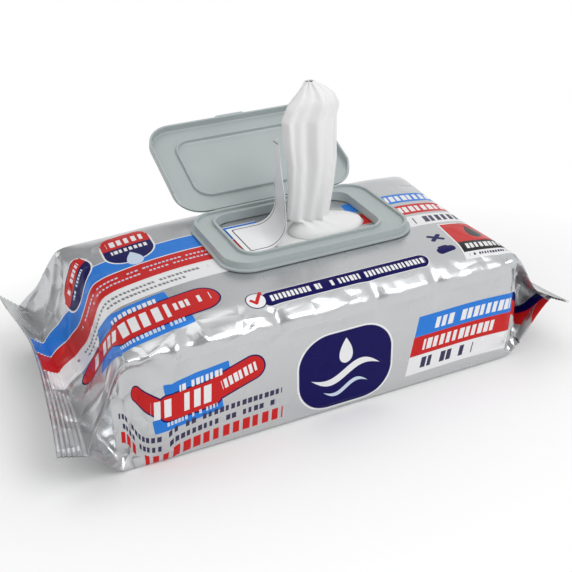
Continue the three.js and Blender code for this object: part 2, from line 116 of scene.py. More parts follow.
# Moulded frame and lid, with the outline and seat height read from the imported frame
FRAME_SEAT = FRAME_LOW.z
FRAME_LENGTH = FRAME_HIGH.x - FRAME_LOW.x
FRAME_DEPTH = FRAME_HIGH.y - FRAME_LOW.y
FRAME_X = (FRAME_HIGH.x + FRAME_LOW.x) / 2
FRAME_Y = (FRAME_HIGH.y + FRAME_LOW.y) / 2
FRAME_CORNER = 0.014
WINDOW_LENGTH = 0.071
WINDOW_DEPTH = 0.043
WINDOW_X = 0.0125
WINDOW_Y = 0.008
FLANGE_WIDTH = 0.0017
FLANGE_THICKNESS = 0.0009
FRAME_WALL = 0.0013
DECK_HEIGHT = 0.0029
BEAD_HEIGHT = 0.0042
LIP_RISE = 0.00025
LID_WALL = 0.0012
LID_SKIRT_LIFT = 0.0004
LID_HEIGHT = 0.0066
LID_PANEL_RISE = 0.0009
PLUG_DEPTH = 0.0017
PLUG_GAP = 0.0007
THUMB_TAB_WIDTH = 0.017
THUMB_TAB_REACH = 0.0008
HINGE_LENGTH = 0.064
HINGE_Y = LID_HINGE["pos_m"][1]
HINGE_Z = LID_HINGE["pos_m"][2]
LID_OPEN_ANGLE = math.radians(LID_HINGE["range_deg"][1])

# Camera, as solved from the photograph
CAMERA_PLACE = (-0.16722, -0.36931, 0.26802)
CAMERA_AZIMUTH = math.radians(-24.68)
CAMERA_ELEVATION = math.radians(29.67)
CAMERA_ROLL = math.radians(-1.09)
CAMERA_LENS = 61.0


def smooth(value, low, high):
    share = np.clip((value - low) / (high - low), 0, 1)
    return share * share * (3 - 2 * share)


def blend(first, second, share):
    return first + (second - first) * share


# Film body

def crown_share(value, low, high, fall_low, fall_high):
    """1 between two places, falling to 0 in a curve beyond each."""
    outside = np.where(value < low, (low - value) / fall_low, (value - high) / fall_high)
    return 1 - np.clip(outside, 0, 1) ** 2


def crown_height(x, y):
    """How far the film bulges upwards: flat under the frame, and falling away all round it."""
    along_x = crown_share(
        x, FRAME_X - FRAME_LENGTH / 2 - CROWN_MARGIN, FRAME_X + FRAME_LENGTH / 2 + CROWN_MARGIN,
        CROWN_FALL_LEFT, CROWN_FALL_RIGHT)
    front = FRAME_Y - FRAME_DEPTH / 2 - CROWN_MARGIN
    back = FRAME_Y + FRAME_DEPTH / 2 + CROWN_MARGIN
    along_y = crown_share(y, front, back, BODY_WIDTH / 2 + front, BODY_WIDTH / 2 - back)
    return CROWN * along_x * along_y


def seal_height(x):
    return LEFT_SEAL_HEIGHT if x < 0 else RIGHT_SEAL_HEIGHT


def seal_half_length(x):
    return LEFT_SEAL_HALF_LENGTH if x < 0 else RIGHT_SEAL_HALF_LENGTH


def fold_at(x):
    """0 along the body, 1 at the seal."""
    return float(np.clip((abs(x) - BODY_LENGTH / 2) / (SEAL_REACH - BODY_LENGTH / 2), 0, 1))


def edge_share(y):
    """0 along the middle of the pack, 1 along its long edges."""
    return np.clip(np.abs(y) / (BODY_WIDTH / 2), 0, 1) ** 2


def top_height(x, y):
    """The film's top, which comes down to the seals at both ends, more steeply at the left one's front."""
    middle = LEFT_SHOULDER_MIDDLE if x < 0 else RIGHT_SHOULDER_MIDDLE
    edge = LEFT_SHOULDER_EDGE if x < 0 else RIGHT_SHOULDER_EDGE
    start = blend(middle, edge, edge_share(y))
    share = np.clip((abs(x) - start) / (SEAL_REACH - start), 0, 1)
    fall = 0.66 * smooth(share, 0.2, 0.75) + 0.34 * share ** 1.6
    if x < 0:
        front, back = smooth(-y, 0.01, 0.05), smooth(y, 0.01, 0.05)
        fall = blend(blend(fall, share, front), 0.9 * share ** 2.2 + 0.1 * share, 0.5 * back)
    return blend(BODY_HEIGHT + crown_height(x, y), seal_height(x) + SEAL_THICKNESS / 2, fall)


def underside_height(x, y):
    """The film's underside, with the lap of its seal along the middle and a rise to the seals."""
    start = blend(UNDERSIDE_MIDDLE, UNDERSIDE_EDGE, edge_share(y))
    share = np.clip((abs(x) - start) / (SEAL_REACH - start), 0, 1)
    rise = 0.45 * smooth(share, 0, 1) + 0.55 * share ** 1.4
    beside = np.abs(y) - LAP_WIDTH / 2
    step = np.where(beside > 0, LAP_STEP * (1 - smooth(beside, 0, LAP_FADE)), 0)
    return blend(step, seal_height(x) - SEAL_THICKNESS / 2, rise)


def rounded(before, corner, after, radius, count):
    """A short curve in place of a corner between two straight runs."""
    to_before, to_after = before - corner, after - corner
    reach_before, reach_after = np.linalg.norm(to_before), np.linalg.norm(to_after)
    cosine = np.clip(to_before @ to_after / (reach_before * reach_after), -1, 1)
    turn = math.pi - math.acos(cosine)
    room = 0.42 * min(reach_before, reach_after)
    tangent = min(max(radius * math.tan(turn / 2), 0.0003), room)
    start = corner + to_before * tangent / reach_before
    end = corner + to_after * tangent / reach_after
    share = np.linspace(0, 1, count + 1)[:, None]
    return (1 - share) ** 2 * start + 2 * share * (1 - share) * corner + share ** 2 * end


def straight(first, last, count):
    """Points between two places, without the two places themselves."""
    share = np.linspace(0, 1, count + 1)[1:-1, None]
    return blend(first, last, share)


# Where the top and the underside begin to curve into the sides, as shares of the half width
NEAR_TOP_EDGE = 0.89
NEAR_BOTTOM_EDGE = 0.85


def half_section(x):
    """Half of the film's cross-section, from the top's middle round the +Y side to the underside's."""
    fold = fold_at(x)
    width = blend(BODY_WIDTH / 2, seal_half_length(x), fold ** 1.5)
    top, bottom = float(top_height(x, width)), float(underside_height(x, width))
    half = (top - bottom) / 2
    upright = (0.8 - 0.35 * fold) * half
    flap = BODY_HEIGHT / 2 - (seal_half_length(x) - BODY_WIDTH / 2) * fold - upright
    tuck = math.sqrt(max(flap ** 2 - (half - upright) ** 2, 0))
    drawn_in = PANEL_PULL * float(smooth(-x, 0.077, 0.097) if x < 0 else smooth(fold, 0, 0.12))
    tuck = max(tuck, width - BODY_WIDTH / 2 + drawn_in)
    inner = width - tuck + SIDE_BULGE * (1 - fold)
    middle = (top + bottom) / 2
    sharp = 1 - smooth(fold, 0, 0.35)
    top_corner, bottom_corner = np.array([width, top]), np.array([width, bottom])
    upper, lower = np.array([inner, middle + upright]), np.array([inner, middle - upright])
    top_y, bottom_y = NEAR_TOP_EDGE * width, NEAR_BOTTOM_EDGE * width
    near_top = np.array([top_y, float(top_height(x, top_y))])
    near_bottom = np.array([bottom_y, float(underside_height(x, bottom_y))])
    top_radius = blend(FOLDED_EDGE_RADIUS, TOP_EDGE_RADIUS, sharp)
    top_curve = rounded(near_top, top_corner, upper, top_radius, 8)
    upper_curve = rounded(top_corner, upper, lower, TUCK_RADIUS, 5)
    lower_curve = rounded(upper, lower, bottom_corner, TUCK_RADIUS, 5)
    bottom_radius = blend(FOLDED_EDGE_RADIUS, BOTTOM_EDGE_RADIUS, sharp)
    bottom_curve = rounded(lower, bottom_corner, near_bottom, bottom_radius, 5)
    top_y = np.linspace(0, top_curve[0][0], 40)[:-1]
    bottom_y = np.linspace(bottom_curve[-1][0], 0, 18)[1:]
    return np.vstack([
        np.column_stack([top_y, top_height(x, top_y)]),
        top_curve,
        straight(top_curve[-1], upper_curve[0], 5),
        upper_curve,
        straight(upper_curve[-1], lower_curve[0], 24),
        lower_curve,
        straight(lower_curve[-1], bottom_curve[0], 5),
        bottom_curve,
        np.column_stack([bottom_y, underside_height(x, bottom_y)]),
    ])


def fin_tilt(side, y):
    """How far a fin leans up from level, which changes a little along it."""
    if side > 0:
        return np.radians(-RIGHT_FIN_DROOP + 5 * np.sin(y / 0.017))
    raised = smooth(y, -LEFT_SEAL_HALF_LENGTH, -0.1 * LEFT_SEAL_HALF_LENGTH)
    return np.radians(blend(16, 46, raised) + 4 * np.sin(y / 0.011))


def fin_row(side, out, y, height):
    """The sealed edge's points carried outwards across the ridged fin."""
    tilt = fin_tilt(side, y)
    ridge = FIN_RIDGE_HEIGHT / 2 * math.sin(2 * math.pi * FIN_RIDGES * out / FIN_WIDTH)
    x = side * (SEAL_REACH + out * np.cos(tilt))
    layer = (height - seal_height(side)) * FIN_THICKNESS / SEAL_THICKNESS
    return x, seal_height(side) + out * np.sin(tilt) + ridge + layer


BODY_ROWS = 128
END_ROWS = 27
FIN_ROWS = 37


def film_stations():
    """Places along the pack, each with how far out across a fin it lies."""
    body = [(x, 0.0) for x in np.linspace(-BODY_LENGTH / 2, BODY_LENGTH / 2, BODY_ROWS)]
    end = [(x, 0.0) for x in np.linspace(BODY_LENGTH / 2, SEAL_REACH, END_ROWS)[1:]]
    fin = [(SEAL_REACH, out) for out in np.linspace(0, FIN_WIDTH, FIN_ROWS)[1:]]
    right = end + fin
    left = [(-x, out) for x, out in reversed(right)]
    return left + body + right


def film_lattice():
    """Rows of points round the film, and each point's place on the flat film."""
    rows, around = [], []
    stations = film_stations()
    for x, out in stations:
        half = half_section(x)
        run = np.concatenate([[0], np.cumsum(np.linalg.norm(np.diff(half, axis=0), axis=1))])
        mirrored = half[1:-1][::-1] * [-1, 1]
        loop = np.vstack([mirrored, half])
        around.append(np.concatenate([-run[1:-1][::-1], run]))
        y, z = loop[:, 0], loop[:, 1]
        along = np.full(len(loop), x)
        if out > 0:
            along, z = fin_row(math.copysign(1, x), out, y, z)
        bow = SEAL_BOW * fold_at(x) * (y / seal_half_length(x)) ** 2 * math.copysign(1, x)
        rows.append(np.column_stack([along + bow, y, z]))
    points = np.array(rows)
    middle = points[:, len(half_section(0)) - 2, :]
    steps = np.linalg.norm(np.diff(middle, axis=0), axis=1)
    run = np.concatenate([[0], np.cumsum(steps)])
    centre = len(stations) // 2
    along = np.repeat((run - run[centre])[:, None], points.shape[1], axis=1)
    return points, np.stack([along, np.array(around)], axis=2)


def outward_normals(points):
    """The film's directions outwards at each point of its lattice."""
    along = np.gradient(points, axis=0)
    around = np.roll(points, -1, axis=1) - np.roll(points, 1, axis=1)
    normals = np.cross(along, around)
    return normals / np.maximum(np.linalg.norm(normals, axis=2, keepdims=True), 1e-12)


# Each crease of the film: its line in millimetres on the flat film, its width and its height outwards, and
# then 1 for a sharp crest or 0 for a soft swell
FILM_CREASES = [
    ([(-28, -47), (-27, -55), (-26, -63)], 3.2, -1.5, 0),
    ([(-33, -50), (-38, -57), (-52, -60)], 3.0, 0.7, 1),
    ([(20, -49), (20.8, -56), (21, -66)], 3.2, -1.6, 0),
    ([(50.5, -50), (51, -57), (51.5, -65)], 3.0, -1.6, 0),
    ([(26, -58), (35, -61), (45, -59)], 4.0, 0.6, 0), ([(-18, -58), (0, -62), (15, -60)], 4.0, 0.6, 0),
    ([(57, -59), (70, -62), (84, -60)], 4.0, 0.6, 0), ([(86, -50), (90, -57), (96, -62)], 2.6, -1.3, 1),
    ([(-70.5, -48), (-73, -57), (-75.5, -65), (-77, -75)], 2.4, 1.6, 1),
    ([(-62, -46), (-60.5, -53), (-57, -59)], 2.6, 1.0, 1),
    ([(-66, -50), (-66, -60), (-65, -68)], 3.2, -1.1, 0),
    ([(-84, -55), (-83, -62), (-82, -72)], 4.2, -1.8, 0),
    ([(-98, -57), (-89, -57), (-83, -55), (-76, -52), (-71, -49)], 2.6, 1.3, 1),
    ([(-92, -64), (-94, -76), (-96, -88)], 6.5, -2.2, 0),
    ([(-98, -57), (-105, -60), (-113, -61), (-122, -62), (-129, -62)], 1.8, 1.0, 1),
    ([(-104, 54), (-112, 50), (-122, 42), (-128, 30)], 3.0, 0.9, 1),
    ([(-96, 40), (-108, 44), (-120, 50)], 5.0, -1.2, 0),
    ([(97, -52), (108, -50), (122, -46)], 2.6, 0.9, 1),
    ([(98, -60), (110, -66), (122, -78)], 3.4, -1.2, 0),
    ([(100, -92), (110, -88), (121, -90)], 2.4, 1.0, 1),
    ([(99, -101), (108, -98), (120, -100)], 3.0, -1.0, 0),
]


def folded(points, flat):
    """The film pressed in and raised along its creases."""
    lift = np.zeros(points.shape[:2])
    for line, width, height, sharp in FILM_CREASES:
        corners = np.array(line) / 1000
        away = np.full(lift.shape, np.inf)
        length = np.zeros(lift.shape)
        for index, (first, last) in enumerate(zip(corners, corners[1:])):
            run = last - first
            share = np.clip((flat - first) @ run / (run @ run), 0, 1)
            distance = np.linalg.norm(flat - first - share[..., None] * run, axis=2)
            length = np.where(distance < away, (index + share) / (len(corners) - 1), length)
            away = np.minimum(away, distance)
        away = away * 1000 / width
        crest = np.exp(-1.6 * away) if sharp else np.exp(-away ** 2)
        lift += height / 1000 * crest * (0.35 + 0.65 * np.sin(np.pi * np.clip(length, 0.05, 0.95)))
    return points + outward_normals(points) * lift[..., None]


FILM_SKIN = 0.0005

# How far into the folded ends the hollow reaches, as a share of their length
HOLLOW_END = 0.40


def mouth_share(x, y):
    """Below 1 inside the mouth's oval, 1 on its edge."""
    return np.hypot((x - MOUTH_X) / (MOUTH_LENGTH / 2), (y - MOUTH_Y) / (MOUTH_WIDTH / 2))


def mouth_edge(cut):
    """The lattice points between the faces cut out for the mouth and those that stay."""
    before = np.roll(cut, 1, axis=1)
    beside = np.stack([cut[:-1], cut[1:], before[:-1], before[1:]])
    edge = np.zeros((cut.shape[0] + 1, cut.shape[1]), bool)
    edge[1:-1] = beside.any(axis=0) & ~beside.all(axis=0)
    return edge


def film_mesh(name):
    """A closed skin with a hollow inside it, opened at the mouth."""
    points, flat = film_lattice()
    points = folded(points, flat)
    count_rows, count_around = points.shape[:2]
    inner = points - outward_normals(points) * FILM_SKIN
    hollow = [i for i, (x, out) in enumerate(film_stations()) if out == 0 and fold_at(x) <= HOLLOW_END]
    first, last = hollow[0], hollow[-1]
    middles = (points[:-1] + points[1:]) / 2
    middles = (middles + np.roll(middles, -1, axis=1)) / 2
    cut = (mouth_share(middles[..., 0], middles[..., 1]) < 1) & (middles[..., 2] > BODY_HEIGHT)
    faces, places = [], []

    def outer(i, j):
        return i * count_around + j % count_around

    def inside(i, j):
        return (count_rows + i - first) * count_around + j % count_around

    def add(corners, at):
        faces.append(corners)
        places.extend(at)

    seam = -flat[:, -1, 1]
    for i in range(count_rows - 1):
        for j in range(count_around):
            lattice = [(i, j), (i + 1, j), (i + 1, j + 1), (i, j + 1)]
            if j == count_around - 1:
                at = [(flat[i, j, 0], seam[i]), (flat[i + 1, j, 0], seam[i + 1])]
                at += [flat[i + 1, 0], flat[i, 0]]
            else:
                at = [flat[p] for p in lattice]
            if cut[i, j]:
                beside = [cut[i, j - 1], cut[i + 1, j], cut[i, j + 1], cut[i - 1, j]]
                for side in range(4):
                    if not beside[side]:
                        a, b = lattice[side], lattice[(side + 1) % 4]
                        corners = [outer(*a), outer(*b), inside(*b), inside(*a)]
                        add(corners, [flat[a], flat[b], flat[b], flat[a]])
                continue
            add([outer(*p) for p in lattice], at)
            if first <= i < last:
                add([inside(*p) for p in lattice[::-1]], at[::-1])
    caps = [(0, False, outer), (count_rows - 1, True, outer), (first, True, inside), (last, False, inside)]
    for i, turned, index in caps:
        loop = [(i, j) for j in range(count_around)]
        loop = loop[::-1] if turned else loop
        add([index(*p) for p in loop], [flat[p] for p in loop])
    for layer in (points, inner):
        for i, j in zip(*np.nonzero(mouth_edge(cut))):
            share = mouth_share(*layer[i, j, :2])
            layer[i, j, 0] = MOUTH_X + (layer[i, j, 0] - MOUTH_X) / share
            layer[i, j, 1] = MOUTH_Y + (layer[i, j, 1] - MOUTH_Y) / share
    vertices = np.vstack([points.reshape(-1, 3), inner[first:last + 1].reshape(-1, 3)])
    mesh = bpy.data.meshes.new(name)
    mesh.from_pydata(vertices.tolist(), [], faces)
    layer = mesh.uv_layers.new(name="film")
    layer.data.foreach_set("uv", np.array(places, np.float32).ravel())
    mesh.update()
    return mesh


def piece_from_mesh(name, mesh):
    piece = bpy.data.objects.new(name, mesh)
    bpy.context.scene.collection.objects.link(piece)
    return piece


def activate(piece):
    bpy.ops.object.select_all(action="DESELECT")
    piece.select_set(True)
    bpy.context.view_layer.objects.active = piece


def shade(piece, angle):
    activate(piece)
    bpy.ops.object.shade_smooth_by_angle(angle=math.radians(angle))


# Shader building

def feed(tree, socket, value):
    if isinstance(value, bpy.types.NodeSocket):
        tree.links.new(value, socket)
    else:
        socket.default_value = value


def calculate(tree, operation, *values):
    node = tree.nodes.new("ShaderNodeMath")
    node.operation = operation
    for socket, value in zip(node.inputs, values):
        feed(tree, socket, value)
    return node.outputs[0]


def vector_calculate(tree, operation, first, second=None):
    node = tree.nodes.new("ShaderNodeVectorMath")
    node.operation = operation
    feed(tree, node.inputs[0], first)
    if second is not None:
        feed(tree, node.inputs["Scale" if operation == "SCALE" else 1], second)
    return node.outputs["Value"] if operation in ("LENGTH", "DOT_PRODUCT") else node.outputs["Vector"]


def ramp_value(tree, value, low, high, first, last):
    """first where the value is low, last where it is high."""
    node = tree.nodes.new("ShaderNodeMapRange")
    for socket, number in zip(node.inputs, (value, low, high, first, last)):
        feed(tree, socket, number)
    return node.outputs["Result"]


def mix_colour(tree, first, second, share):
    """first where the share is 0, second where it is 1."""
    node = tree.nodes.new("ShaderNodeMix")
    node.data_type = "RGBA"
    feed(tree, node.inputs["Factor"], share)
    feed(tree, node.inputs["A"], first)
    feed(tree, node.inputs["B"], second)
    return node.outputs["Result"]


def combine(tree, x, y, z=0.0):
    node = tree.nodes.new("ShaderNodeCombineXYZ")
    for socket, value in zip(node.inputs, (x, y, z)):
        feed(tree, socket, value)
    return node.outputs[0]


def separate(tree, vector):
    node = tree.nodes.new("ShaderNodeSeparateXYZ")
    feed(tree, node.inputs[0], vector)
    return node.outputs


def start_group(name, inputs, outputs):
    """A new shader node group with float and vector sockets."""
    group = bpy.data.node_groups.new(name, "ShaderNodeTree")
    for label, default in inputs:
        kind = "NodeSocketVector" if default is None else "NodeSocketFloat"
        socket = group.interface.new_socket(name=label, in_out="INPUT", socket_type=kind)
        if default is not None:
            socket.default_value = default
    for label in outputs:
        group.interface.new_socket(name=label, in_out="OUTPUT", socket_type="NodeSocketFloat")
    start = group.nodes.new("NodeGroupInput")
    end = group.nodes.new("NodeGroupOutput")
    return group, start.outputs, end.inputs


def use_group(tree, group, **values):
    node = tree.nodes.new("ShaderNodeGroup")
    node.node_tree = group
    for label, value in values.items():
        feed(tree, node.inputs[label], value)
    return node.outputs


# Over how far a printed edge fades, in metres, and as a share of a dash's pitch or of half a shape
EDGE_SOFTNESS = 0.0002
DASH_SOFTNESS = 0.03
SHAPE_SOFTNESS = 0.04

SHORTEST_DASH = 0.62
DASHES_LEFT_OUT = 0.12
DROP_ROUNDNESS = 2.6
SHAPE_INPUTS = [("Place", None), ("Middle", None), ("Turn", None), ("Half", None)]


def local_place(tree, start):
    """The place seen from a printed shape's own middle, turned with it."""
    node = tree.nodes.new("ShaderNodeMapping")
    node.vector_type = "TEXTURE"
    feed(tree, node.inputs["Vector"], start["Place"])
    feed(tree, node.inputs["Location"], start["Middle"])
    feed(tree, node.inputs["Rotation"], start["Turn"])
    return node.outputs[0]


def slanted_place(tree, start):
    """The local place leaned over by the group's slant."""
    parts = separate(tree, local_place(tree, start))
    return combine(tree, calculate(tree, "MULTIPLY_ADD", parts[1], start["Slant"], parts[0]), parts[1])


def inside_outline(tree, place, half, corner):
    """1 inside a rounded outline round the place's own middle, 0 outside."""
    beyond = vector_calculate(tree, "SUBTRACT", vector_calculate(tree, "ABSOLUTE", place), half)
    beyond = vector_calculate(tree, "MAXIMUM", vector_calculate(tree, "ADD", beyond, corner), (0, 0, 0))
    distance = vector_calculate(tree, "LENGTH", beyond)
    radius = separate(tree, corner)[0]
    return ramp_value(
        tree, distance, radius, calculate(tree, "ADD", radius, EDGE_SOFTNESS), 1.0, 0.0)


def printed_field_group():
    """A rounded field of print."""
    group, start, end = start_group("printed_field", SHAPE_INPUTS + [("Corner", None)], ["Mask"])
    place = vector_calculate(group, "MULTIPLY", local_place(group, start), (1, 1, 0))
    feed(group, end["Mask"], inside_outline(group, place, start["Half"], start["Corner"]))
    return group


def slanted_field_group():
    """A field whose ends lean."""
    inputs = SHAPE_INPUTS + [("Corner", None), ("Slant", 0.0)]
    group, start, end = start_group("slanted_field", inputs, ["Mask"])
    place = slanted_place(group, start)
    feed(group, end["Mask"], inside_outline(group, place, start["Half"], start["Corner"]))
    return group


def dash_row_group():
    """A row of dashes of uneven length."""
    inputs = SHAPE_INPUTS + [("Slant", 0.0), ("Pitch", 0.004), ("Fill", 0.8), ("Seed", 0.0)]
    group, start, end = start_group("dash_row", inputs, ["Mask"])
    place = slanted_place(group, start)
    band = inside_outline(group, place, start["Half"], (0, 0, 0))
    steps = calculate(group, "DIVIDE", separate(group, place)[0], start["Pitch"])
    cell = calculate(group, "ADD", calculate(group, "FLOOR", steps), start["Seed"])
    noise = group.nodes.new("ShaderNodeTexWhiteNoise")
    noise.noise_dimensions = "1D"
    feed(group, noise.inputs["W"], cell)
    share = noise.outputs["Value"]
    uneven = ramp_value(group, share, 0.0, 1.0, SHORTEST_DASH, 1.0)
    length = calculate(group, "MULTIPLY", start["Fill"], uneven)
    within = calculate(group, "SUBTRACT", calculate(group, "FRACT", steps), length)
    dash = ramp_value(group, within, -DASH_SOFTNESS, DASH_SOFTNESS, 1.0, 0.0)
    kept = calculate(group, "MULTIPLY", dash, calculate(group, "GREATER_THAN", share, DASHES_LEFT_OUT))
    feed(group, end["Mask"], calculate(group, "MULTIPLY", band, kept))
    return group


def drop_group():
    """A plain drop with its point upwards."""
    group, start, end = start_group("drop", SHAPE_INPUTS, ["Mask"])
    parts = separate(group, vector_calculate(group, "DIVIDE", local_place(group, start), start["Half"]))
    share = calculate(group, "MULTIPLY_ADD", parts[1], 0.5, 0.5)
    held = calculate(group, "MINIMUM", calculate(group, "MAXIMUM", share, 0.0), 1.0)
    root = calculate(group, "SQRT", held)
    half = calculate(group, "MULTIPLY", root, calculate(group, "SUBTRACT", 1.0, held))
    aside = calculate(group, "ABSOLUTE", parts[0])
    over = calculate(group, "SUBTRACT", aside, calculate(group, "MULTIPLY", half, DROP_ROUNDNESS))
    feed(group, end["Mask"], ramp_value(group, over, -SHAPE_SOFTNESS, 0.0, 1.0, 0.0))
    return group


def wave_group():
    """A ribbon along one wave, pointed at both ends."""
    group, start, end = start_group("wave", SHAPE_INPUTS + [("Thickness", 0.3)], ["Mask"])
    parts = separate(group, vector_calculate(group, "DIVIDE", local_place(group, start), start["Half"]))
    swing = calculate(group, "SINE", calculate(group, "MULTIPLY", parts[0], math.pi))
    away = calculate(group, "ABSOLUTE", calculate(group, "SUBTRACT", parts[1], swing))
    taper = calculate(group, "SUBTRACT", 1.0, calculate(group, "MULTIPLY", parts[0], parts[0]))
    over = calculate(group, "SUBTRACT", away, calculate(group, "MULTIPLY", taper, start["Thickness"]))
    feed(group, end["Mask"], ramp_value(group, over, -SHAPE_SOFTNESS, 0.0, 1.0, 0.0))
    return group


def fine_grain_group():
    """Small unevenness, as a height from 0 to 1."""
    inputs = [("Place", None), ("Scale", 200.0), ("Detail", 3.0)]
    group, start, end = start_group("fine_grain", inputs, ["Height"])
    noise = group.nodes.new("ShaderNodeTexNoise")
    feed(group, noise.inputs["Vector"], start["Place"])
    feed(group, noise.inputs["Scale"], start["Scale"])
    feed(group, noise.inputs["Detail"], start["Detail"])
    feed(group, end["Height"], noise.outputs["Fac"])
    return group


# How wide the rounded edge between two facets is, as a share of a facet
FACET_EDGE = 0.25


def crumple_group():
    """Flat facets that each lean their own way, as in creased film. The height is in metres."""
    group, start, end = start_group("crumple", [("Place", None), ("Cells", 80.0)], ["Height"])
    scaled = vector_calculate(group, "SCALE", start["Place"], start["Cells"])
    facets = group.nodes.new("ShaderNodeTexVoronoi")
    edges = group.nodes.new("ShaderNodeTexVoronoi")
    edges.feature = "DISTANCE_TO_EDGE"
    for texture in (facets, edges):
        texture.voronoi_dimensions = "2D"
        feed(group, texture.inputs["Vector"], scaled)
        texture.inputs["Scale"].default_value = 1.0
    lean = vector_calculate(group, "SUBTRACT", facets.outputs["Color"], (0.5, 0.5, 0.5))
    away = vector_calculate(group, "SUBTRACT", scaled, facets.outputs["Position"])
    height = vector_calculate(group, "DOT_PRODUCT", away, lean)
    kept = ramp_value(group, edges.outputs["Distance"], 0.0, FACET_EDGE, 0.0, 1.0)
    metres = calculate(group, "DIVIDE", calculate(group, "MULTIPLY", height, kept), start["Cells"])
    feed(group, end["Height"], metres)
    return group


GROUPS = {}


def shared_group(name):
    makers = {
        "field": printed_field_group, "slanted": slanted_field_group, "dashes": dash_row_group,
        "drop": drop_group, "wave": wave_group, "grain": fine_grain_group, "crumple": crumple_group}
    if name not in GROUPS:
        GROUPS[name] = makers[name]()
    return GROUPS[name]


def start_material(name, colour, roughness, metallic=0.0):
    material = bpy.data.materials.new(name)
    material.use_nodes = True
    shader = material.node_tree.nodes["Principled BSDF"]
    shader.inputs["Base Color"].default_value = (*colour, 1.0)
    shader.inputs["Roughness"].default_value = roughness
    shader.inputs["Metallic"].default_value = metallic
    return material, material.node_tree, shader


def bump(tree, shader, height, strength, distance):
    node = tree.nodes.new("ShaderNodeBump")
    node.inputs["Strength"].default_value = strength
    node.inputs["Distance"].default_value = distance
    feed(tree, node.inputs["Height"], height)
    tree.links.new(node.outputs["Normal"], shader.inputs["Normal"])


def object_place(tree):
    return tree.nodes.new("ShaderNodeTexCoord").outputs["Object"]


def flat_place(tree, layer):
    node = tree.nodes.new("ShaderNodeUVMap")
    node.uv_map = layer
    return node.outputs["UV"]


# Film

# The print, in millimetres on the flat film, painted in this order. Each row has a lane, the middle
# (across, up), the turn in degrees and the half sizes, then what the shape needs: a corner radius, a
# slant, or the pitch, slant and seed of its dashes, and last its colour. The lanes bend with the folded
# film: "top" for the long stripes, "front" for the lower left, "end" for the bands round the right-hand
# corner, and "flat" for the rest. Drops and waves are unturned, and a wave also has its thickness.
PRINTED_FIELDS = [
    ("top", -72, 18.3, 0, 69, 6.7, 0, "white"), ("top", -72, 18.3, 0, 69, 6.1, 0, "blue"),
    ("top", -72, 4.5, 0, 68, 7.4, 0, "white"), ("top", -72, 4.5, 0, 68, 6.8, 0, "red"),
    ("top", -72, -9.6, 0, 66, 6.4, 0, "white"), ("flat", -98.6, 28.2, 20, 13.6, 11.4, 10, "white"),
    ("flat", -98.6, 28.2, 20, 12.8, 10.6, 9.4, "navy"), ("flat", -100.2, 33.0, 20, 11.4, 4.6, 4.6, "red"),
    ("flat", -99.6, 31.2, 20, 12.6, 3.0, 1, "red"), ("flat", -66.2, 30.6, -3, 12.4, 14.8, 11.4, "white"),
    ("flat", -66.2, 30.6, -3, 11.6, 14.0, 10.6, "navy"), ("flat", -65.8, 39.0, -3, 10.9, 5.4, 5.4, "red"),
    ("flat", -65.9, 35.6, -3, 11.6, 3.6, 0, "red"), ("flat", -94.5, -19.2, -24, 8.8, 4.4, 1, "blue"),
    ("flat", -79, -22.3, 1, 14.5, 4.4, 1, "blue"), ("flat", -103.5, -39.8, -38, 9.5, 5.2, 1, "blue"),
    ("flat", -80, -43.0, 2, 19.5, 4.0, 1, "blue"), ("flat", -105, -27.0, -25, 18.5, 6.6, 6.2, "navy"),
    ("flat", -72.5, -32.8, 1, 28.0, 9.2, 9, "navy"), ("flat", -105, -27.0, -25, 17.8, 5.9, 5.6, "red"),
    ("flat", -72.5, -32.8, 1, 27.2, 8.4, 8.2, "red"), ("flat", -65, -73.2, 5, 14.5, 3.9, 0.6, "blue"),
    ("flat", -70, -89.0, 5, 15.5, 3.4, 0.6, "blue"), ("flat", -87.5, -77.6, -36, 11.2, 4.4, 4.2, "navy"),
    ("flat", -68.5, -81.9, 2, 14.5, 7.0, 5, "navy"), ("flat", -53.0, -78.9, 17, 19.2, 6.4, 6.2, "navy"),
    ("flat", -87.5, -77.6, -36, 10.5, 3.7, 3.5, "red"), ("flat", -68.5, -81.9, 2, 13.8, 6.3, 4.4, "red"),
    ("flat", -53.0, -78.9, 17, 18.5, 5.7, 5.5, "red"), ("flat", 4.5, -88.6, 0, 24.0, 20.2, 16, "white"),
    ("flat", 4.5, -88.6, 0, 23.1, 19.3, 15.2, "navy"), ("flat", 11.0, -44.9, 0, 41.2, 3.9, 3.9, "white"),
    ("flat", 11.0, -44.9, 0, 40.9, 3.6, 3.6, "navy"), ("flat", -32.6, -44.2, 0, 4.6, 4.6, 4.6, "navy"),
    ("flat", -32.6, -44.2, 0, 4.1, 4.1, 4.1, "white"), ("flat", -33.9, -44.8, -48, 1.8, 0.65, 0.3, "red"),
    ("flat", -31.1, -42.9, 56, 3.9, 0.7, 0.3, "red"), ("flat", 65.5, -30.2, 40, 4.3, 1.0, 0.9, "navy"),
    ("flat", 65.5, -30.2, -40, 4.3, 1.0, 0.9, "navy"), ("flat", 63.8, -41.9, 8, 4.9, 2.0, 1.8, "navy"),
    ("flat", 63.4, -40.2, 8, 2.9, 1.7, 1.6, "navy"),
]
